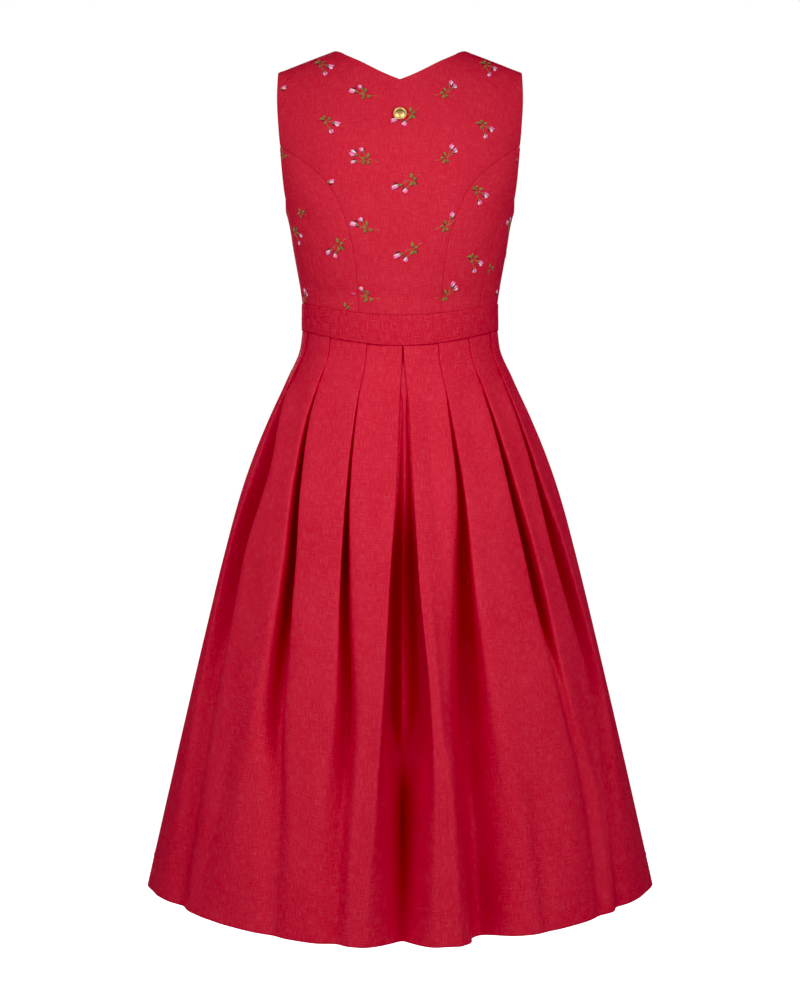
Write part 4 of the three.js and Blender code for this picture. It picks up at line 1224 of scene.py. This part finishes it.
# %% Strokes, leaves and buds
def ray(way, near, far, width, thread, aside=0.0):
    """A stroke on the line that leaves the node at angle way, from near to far, moved aside."""
    c, s = np.cos(np.radians(way)), np.sin(np.radians(way))
    return (near * c - aside * s, near * s + aside * c,
            far * c - aside * s, far * s + aside * c, width, thread)


def leaf_fan(first, step, count, length):
    """Leaves at nearly even turns about the node, every second one shorter, with a lighter stroke of painted
    highlight down each.
    """
    rows = []
    for k in range(count):
        way = first + step * k + 8 * np.sin(2.3 * k + first)
        reach = length * (1.0, 0.82)[k % 2]
        rows += [ray(way, 0.22 * length, reach, 0.34 * length, OLIVE),
                 ray(way, 0.30 * length, 0.9 * reach, 0.7, PAINTED_LEAF_HIGHLIGHT)]
    return rows


def bud(way, away, size):
    """A bud on its stem: a green cup, a bright petal, a pale stroke of painted highlight, a fold and a dark
    heart.
    """
    parts = ((-0.1, 0.3, 0.22, OLIVE, 0), (0.2, 1.0, 0.30, PINK, 0.13),
             (0.2, 0.9, 0.24, PAINTED_BUD_HIGHLIGHT, -0.14), (0.35, 0.9, 0.14, MAGENTA, 0),
             (0.1, 0.6, 0.18, MAROON, -0.32))     # near, far, width, thread, aside
    return [ray(way, 0, away, 0.9, STEM)] + [
        ray(way, away + near * size, away + far * size, width * size, thread, aside * size)
        for near, far, width, thread, aside in parts]


print("strokes of a bud:", len(bud(0, 10, 10)))

# %% The sprigs
def sprig(tail=None, leaves=None, buds=()):
    """All strokes of one sprig, in millimetres from its node, angles in degrees."""
    rows = []
    if tail:
        way, length = tail
        rows += [ray(way, 0, 0.6 * length, 0.9, STEM),
                 ray(way, 0.6 * length, length, 0.7, STEM, 0.04 * length)]
    if leaves:
        rows += leaf_fan(*leaves)
    for one in buds:
        rows += bud(*one)
    return np.array(rows, float)


# Each sprig: the tail's angle and length; the fan's first angle, step, count and leaf length;
# and each bud's angle, distance and size.
SPRIGS = {
    "A": sprig((-12, 15), (95, 72, 4, 8.5), ((165, 12, 12), (128, 8, 8))),
    "E": sprig((-15, 15), (80, 76, 4, 8.5), ((155, 13, 11), (190, 13, 9), (118, 9, 8))),
    "B": sprig((195, 14), (110, 68, 4, 8.0), ((62, 11, 9), (38, 11, 8))),
    "C": sprig((30, 14), (90, -64, 4, 9.0), ((207, 12, 11), (240, 10, 8))),
    "D": sprig((172, 10), (25, 75, 4, 8.0), ((-20, 9, 11), (-68, 12, 8))),
    "F": sprig(buds=((5, -6, 10),)),
    "G": sprig((-20, 9), (30, 72, 4, 8.0)),
}
print("strokes of each sprig:", {name: len(rows) for name, rows in SPRIGS.items()})

# %% [markdown]
# Down the back the sprigs stand in the columns of a repeat, about 50 mm apart across and 80 mm
# apart down, every second column half a step lower. The cut of the panels ignores the repeat,
# so it runs on over the princess seams, to the narrow side panels and round the hidden front.

# %% Where the sprigs lie
def column(kinds, x, drift, first, step):
    """A column of the repeat: each sprig a step lower than the last, and moved by the drift."""
    k = np.arange(len(kinds))
    height = first - step * k
    angle, _ = on_body((x + drift * k) / 1000, height / 1000, BACK)
    return tuple(zip(kinds, np.degrees(angle), height))


BACK_SPRIGS = (
    column("DDFCC", 100, -8, -20, 78) + column("AEAA", 42, -1, -66, 84)
    + column("CCCC", -13, -1, -92, 84) + column("BBBB", -56, 0, -64, 84)
    + column("DDDD", -108, 6, -20, 83)
    + (("F", 34, -50), ("A", 25, -136), ("G", 33, -212), ("D", 21, -232), ("B", 14, -320),
       ("F", 160, -142), ("G", 148, -280), ("A", 170, -226), ("F", 166, -306))
)
FRONT_SPRIGS = (
    ("C", -8, -262), ("B", -22, -214), ("B", -24, -298), ("D", -38, -252), ("D", -38, -160),
    ("A", -50, -110), ("A", -53, -206), ("A", -55, -290), ("C", -40, -58), ("C", -68, -168),
    ("C", -70, -250), ("E", -64, -66), ("B", -77, -212), ("B", -78, -298), ("D", -102, -230),
    ("D", -103, -312), ("A", -106, -185), ("A", -112, -272), ("C", -120, -130), ("C", -124, -226),
    ("B", -113, -80), ("B", -138, -84), ("D", -142, -180), ("C", -140, -262), ("E", -128, -306),
    ("A", -156, -236), ("B", -168, -284), ("C", 188, -250), ("D", -132, -40), ("D", -52, -36),
)
print(len(BACK_SPRIGS), "sprigs behind,", len(FRONT_SPRIGS), "in front")

# %% Which panel a place is on
NOWHERE, BACK_MIDDLE, BACK_SIDE, FRONT_SIDE, FRONT_MIDDLE = range(5)


def panel_at(angle, height):
    """Which panel a place belongs to, from the seams and edges of the cut; right ones negative."""
    x = body_point(angle, height)[..., 0]
    left = (np.where(x < 0, np.pi - angle, angle) + np.pi) % (2 * np.pi) - np.pi
    near = np.abs(x)
    seam = np.radians(read(SIDE_SEAM, "height", height, "angle"))
    arm = read({"turn": np.radians(UNDERARM["angle"]), "height": UNDERARM["height"]},
               "turn", left, "height")
    sides = np.where(height > arm, NOWHERE, np.where(left > seam, BACK_SIDE, FRONT_SIDE))

    def middle_or_side(princess, armhole, neck, middle):
        """Middle where nearer than the princess line and under the top edge, otherwise side."""
        low = height < princess["height"][-1]
        line = np.where(low, read(princess, "height", height, "x"),
                        read(armhole, "height", height, "x"))
        top = np.where(near < NECK_HALF, read(neck, "x", near, "height"), shoulder_height(near))
        return np.where((near < line) & (height < top), middle, np.where(low, sides, NOWHERE))

    panel = np.where(np.sin(angle) > 0,
                     middle_or_side(BACK_PRINCESS, BACK_ARMHOLE, BACK_NECK, BACK_MIDDLE),
                     middle_or_side(FRONT_PRINCESS, FRONT_ARMHOLE, FRONT_NECK, FRONT_MIDDLE))
    panel = np.where(height < edge_height(BAND_TOP, angle) + WAIST_JOIN, NOWHERE, panel)
    right = (x < np.where(panel == FRONT_MIDDLE, FRONT_LAP, 0)) & (panel != BACK_MIDDLE)
    return np.where(right, -panel, panel)


print("the nape is on panel", panel_at(np.pi / 2, np.array(-0.1)))

# %% Lay the strokes
STITCH_LIFT, EDGE_KEPT = 0.00012, 0.0012    # off the cloth, and clear of a cut edge
# The painted shadow lies this far to the right of and below each bright stroke.
PAINTED_SHADOW_OFFSET = (0.0004, -0.0006)            # where the dark thread lies beside a bright one
ALONG, ROUND = 9, 8                         # points of a stroke


def form_speed(angle, height, step=0.002):
    """Metres of body form for one radian, from two points two steps apart."""
    gap = body_point(angle + step, height) - body_point(angle - step, height)
    return np.linalg.norm(gap, axis=-1) / (2 * step)


def laid_sprigs(sprigs):
    """All strokes of all sprigs as rows: node angle and height, then the stroke's own numbers."""
    rows = [np.concatenate([np.tile([np.radians(a), h / 1000], (len(SPRIGS[kind]), 1)),
                            SPRIGS[kind] * ([0.001] * 5 + [1])], 1) for kind, a, h in sprigs]
    return np.concatenate(rows)


def with_painted_shadow(rows):
    """Painted shadow: a dark lens beside each leaf and petal, a little below and to the right of it."""
    lit = rows[np.isin(rows[:, 7], (OLIVE, PINK, MAGENTA))]
    dark = lit + [0, 0, *PAINTED_SHADOW_OFFSET, *PAINTED_SHADOW_OFFSET, 0, 0]
    dark[:, 6] *= 0.9
    dark[:, 7] = PAINTED_SHADOW
    return np.concatenate([dark, rows])


print("strokes laid:", len(laid_sprigs(BACK_SPRIGS + FRONT_SPRIGS)))

# %% Walk on the form, and cut at the seams
def walked(rows, x, y):
    """The place reached from each sprig's node by going x round the form and y up it."""
    angle, height = rows[:, 0], rows[:, 1]
    extra = (1,) * (x.ndim - 1)
    speed = form_speed(angle, height).reshape(-1, *extra)
    return angle.reshape(-1, *extra) + x / speed, height.reshape(-1, *extra) + y


def kept(rows):
    """Strokes whose two ends, made a little longer, lie on one and the same panel."""
    x0, y0, x1, y1 = rows[:, 2:6].T
    length = np.hypot(x1 - x0, y1 - y0)
    ex, ey = (x1 - x0) / length * EDGE_KEPT, (y1 - y0) / length * EDGE_KEPT
    first = panel_at(*walked(rows, x0 - ex, y0 - ey))
    last = panel_at(*walked(rows, x1 + ex, y1 + ey))
    middle = panel_at(*walked(rows, (x0 + x1) / 2, (y0 + y1) / 2))
    same = (first == last) & (first == middle) & (first != NOWHERE)
    return rows[same], first[same]


# %% From strokes to lenses
def stroke_points(rows, panel):
    """A lens: centre line + cos t half width across + sin t thickness up; both by sin(pi s)."""
    s = np.linspace(0, 1, ALONG)[None, :, None]
    t = (np.arange(ROUND) * 2 * np.pi / ROUND)[None, None]
    x0, y0, x1, y1, width, thread = rows[:, 2:].T[..., None, None]
    width = width * THREAD_SPREAD[thread.astype(int)]
    dx, dy = x1 - x0, y1 - y0
    length = np.hypot(dx, dy)
    fat = np.sin(np.pi * s) ** 0.6
    half = np.cos(t) * fat * width / 2
    bow = 0.10 * 4 * s * (1 - s) * np.sign(np.sin(x0 * 9000 + y1 * 7000)) + half / length
    angle, height = walked(rows, x0 + dx * s - dy * bow, y0 + dy * s + dx * bow)
    thick = np.where(np.sin(t) > 0, np.minimum(width * 0.30, 0.0008) * fat, 0.0002)
    surface = body_point(angle, height)
    # Painted leaf highlights stand a little higher, on top of their leaves.
    # Painted shadow sinks a little below the bright stroke that it lies beside.
    rise = (STITCH_LIFT + thick * np.sin(t) + 0.0002 * (thread == PAINTED_LEAF_HIGHLIGHT)
            - 0.00025 * (thread == PAINTED_SHADOW) * fat + crease_relief(angle, height)
            + (panel == -FRONT_MIDDLE).reshape(-1, 1, 1) * lap_climb(surface[..., 0]))
    points = surface + body_out(angle, height) * rise[..., None]
    return points, np.stack([s * length + 0 * t, half], -1)


def embroidery(name, rows, panel):
    """One mesh of closed lenses, with the thread's colour on each point, painted shadow and painted
    highlights among them, and its lay as a map.
    """
    points, flat = stroke_points(rows, panel)
    index = np.arange(points[..., 0].size).reshape(points.shape[:3])
    ahead = np.roll(index, -1, 2)
    quads = np.stack([index[:, :-1], index[:, 1:], ahead[:, 1:], ahead[:, :-1]], -1).reshape(-1, 4)
    piece = skin(name, points, quads, flat.reshape(-1, 2)[quads])
    shade = 1 + 0.12 * np.sin(rows[:, 2] * 5000 + rows[:, 0] * 40)[:, None]
    tint = np.clip(THREADS[rows[:, 7].astype(int)] * shade, 0, 1)
    tint = np.repeat(np.concatenate([tint, np.ones((len(rows), 1))], 1), ALONG * ROUND, 0)
    store = piece.data.color_attributes.new(name="thread", type="FLOAT_COLOR", domain="POINT")
    store.data.foreach_set("color", tint.astype(np.float32).ravel())
    welded(piece)
    return piece


# %% Embroider the panels
# Each leaf and petal gets a lens of painted shadow beside it.
stroke_rows, stroke_panels = kept(with_painted_shadow(laid_sprigs(BACK_SPRIGS + FRONT_SPRIGS)))
PANEL_NODES = {
    BACK_MIDDLE: "back_centre", BACK_SIDE: "back_side_left", -BACK_SIDE: "back_side_right",
    FRONT_SIDE: "front_side_left", -FRONT_SIDE: "front_side_right",
    FRONT_MIDDLE: "front_centre_left", -FRONT_MIDDLE: "front_centre_right",
}
sprigs = {}
for number, node in PANEL_NODES.items():
    chosen = stroke_panels == number
    sprigs[node] = embroidery(f"sprigs_{node}", stroke_rows[chosen], stroke_panels[chosen])
    print("sprigs on", node, ":", int(chosen.sum()), "strokes")

# %% [markdown]
# ## Finishes
#
# Linen is spun from uneven fibre, so its threads swell and thin. From near one sees the weave,
# from further off only the slubs: thin lighter dashes, some upright and some level, a few
# millimetres to a few centimetres long. Both are worked out on the flat map of the cloth, which
# is in metres. The weave is the product of two waves, one across and one along, and a slub is
# noise stretched about sixteen times along its thread and cut off low.

# %% Helpers for shaders
def finish(name, **constants):
    """A new material, its node tree and its shader, with constants set on the shader itself."""
    made = bpy.data.materials.new(name)
    made.use_nodes = True
    shader = made.node_tree.nodes["Principled BSDF"]
    for socket, value in constants.items():
        shader.inputs[socket.replace("_", " ")].default_value = value
    return made, made.node_tree, shader


def node(tree, kind, inputs, **settings):
    """Adds a node; an input is a number, a colour or the output of another node."""
    made = tree.nodes.new("ShaderNode" + kind)
    for name, value in settings.items():
        setattr(made, name, value)
    for socket, value in inputs.items():
        if isinstance(value, bpy.types.NodeSocket):
            tree.links.new(value, made.inputs[socket])
        else:
            made.inputs[socket].default_value = value
    return made


def maths(tree, operation, *values):
    """One step of arithmetic on numbers."""
    return node(tree, "Math", dict(enumerate(values)), operation=operation).outputs[0]


# %% Helpers for colour, waves and relief
def tone(dye):
    """A colour for a socket."""
    return (*colour(*dye), 1)


def blend(tree, share, low, high):
    """A colour between two, by its share of the second."""
    return node(tree, "Mix", {"Factor": share, 6: low, 7: high}, data_type="RGBA").outputs[2]


def ripples(tree, place, pitch, distortion, detail, way):
    """Even waves, one pitch from crest to crest; the wave node needs 2 pi / 20 for that."""
    return node(tree, "TexWave", {"Vector": place, "Scale": 2 * np.pi / 20 / pitch,
                                  "Distortion": distortion, "Detail": 1.0, "Detail Scale": detail},
                wave_type="BANDS", bands_direction=way).outputs["Fac"]


def bump(tree, height, strength, distance, **under):
    """Bends the light as a relief of a height and strength would, on top of another one."""
    return node(tree, "Bump", {"Height": height, "Strength": strength, "Distance": distance,
                               **under}).outputs[0]


def plug(tree, shader, **outputs):
    """Joins outputs to the shader's sockets of the same names."""
    for socket, output in outputs.items():
        tree.links.new(output, shader.inputs[socket.replace("_", " ")])


# %% Linen
def slubs(tree, place, across, along, low, high):
    """Noise stretched along a thread: across and along are how many grains lie in a metre."""
    stretched = node(tree, "Mapping", {"Vector": place, "Scale": (across, along, 1)})
    grain = node(tree, "TexNoise", {"Vector": stretched.outputs[0], "Scale": 1.0, "Detail": 2.0,
                                    "Roughness": 0.55}, noise_dimensions="2D")
    return node(tree, "MapRange", {"Value": grain.outputs[0], "From Min": low,
                                   "From Max": high}).outputs[0]


def linen(name, thread, pale, deep, slub, pitch, roughness):
    """Red linen: tone from slubs and a slow drift; bump from the weave and the same slubs."""
    made, tree, shader = finish(name, Roughness=roughness, Specular_IOR_Level=0.06)
    place = node(tree, "UVMap", {}, uv_map="cloth").outputs[0]
    upright = slubs(tree, place, 1250, 80, 0.48, 0.80)
    level = slubs(tree, place, 75, 1300, 0.50, 0.82)
    both = maths(tree, "MULTIPLY", maths(tree, "MAXIMUM", upright, level), slub)
    drift = node(tree, "TexNoise", {"Vector": place, "Scale": 13.0, "Detail": 3.0},
                 noise_dimensions="2D").outputs[0]
    base = blend(tree, drift, tone(thread), tone(deep))
    weave = maths(tree, "MULTIPLY", *(maths(
        tree, "SUBTRACT", ripples(tree, place, pitch, 1.6, 0.12, way), 0.5) for way in "XY"))
    fine = bump(tree, weave, 0.5, 0.00025)
    plug(tree, shader, Base_Color=blend(tree, both, base, tone(pale)),
         Normal=bump(tree, both, 0.5, 0.00035, Normal=fine))
    return made


# %% The four linens
bodice_linen = linen("embroidered_bodice_linen", (201, 49, 62), (222, 90, 102), (193, 41, 53),
                     0.40, 0.00055, 0.8)
skirt_linen = linen("pleated_skirt_linen", (208, 49, 64), (226, 90, 104), (198, 38, 52),
                    0.44, 0.00060, 0.62)
band_linen = linen("waist_band_linen", (200, 43, 58), (222, 86, 99), (190, 34, 48),
                   0.55, 0.00060, 0.75)
button_linen = linen("button_linen", (180, 32, 50), (206, 70, 86), (152, 18, 34),
                     0.5, 0.00045, 0.7)
print("linens:", bodice_linen.name, skirt_linen.name, band_linen.name, button_linen.name)

# %% Thread and gilt
thread_finish, tree, shader = finish("satin_stitch_thread", Roughness=0.42, Sheen_Weight=0.15,
                                     Specular_IOR_Level=0.5)
place = node(tree, "UVMap", {}, uv_map="cloth").outputs[0]
slanted = node(tree, "Mapping", {"Vector": place, "Rotation": (0, 0, 0.6)}).outputs[0]
lay = ripples(tree, slanted, 0.00042, 1.2, 0.2, "X")
# The thread colours include painted shadow and painted highlights.
dye = node(tree, "Attribute", {}, attribute_name="thread").outputs["Color"]
dark = node(tree, "HueSaturation", {"Color": dye, "Value": 0.88, "Saturation": 1.05}).outputs[0]
plug(tree, shader, Base_Color=blend(tree, lay, dark, dye), Normal=bump(tree, lay, 0.6, 0.0002))

gilt, tree, shader = finish("gilt_metal", Metallic=1.0, Base_Color=tone((238, 200, 132)))
place = node(tree, "TexCoord", {}).outputs["Object"]
wear = node(tree, "TexNoise", {"Vector": place, "Scale": 900.0, "Detail": 4.0}).outputs[0]
dull = node(tree, "MapRange", {"Value": wear, "To Min": 0.34, "To Max": 0.52}).outputs[0]
plug(tree, shader, Roughness=dull, Normal=bump(tree, wear, 0.25, 0.0001))
print("finishes:", thread_finish.name, gilt.name)

# %% [markdown]
# ## Telling the frame what is what
#
# Each skin stands for one solid of the frame, rides with the dress and takes its finish.


def dress_piece(piece, node_name, made):
    """Gives a piece its finish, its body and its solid."""
    piece.data.materials.append(made)
    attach(piece, "root")
    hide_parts(node_name)


for name, (piece, points) in bodice.items():
    dress_piece(piece, name, bodice_linen)
    sprigs[name].data.materials.append(thread_finish)
    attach(sprigs[name], "root")

dress_piece(band, "waistband", band_linen)

for name, piece in skirts.items():
    dress_piece(piece, name, skirt_linen)

for name, piece in buttons.items():
    dress_piece(piece, name, button_linen)
dress_piece(stud, "neck_stud", gilt)
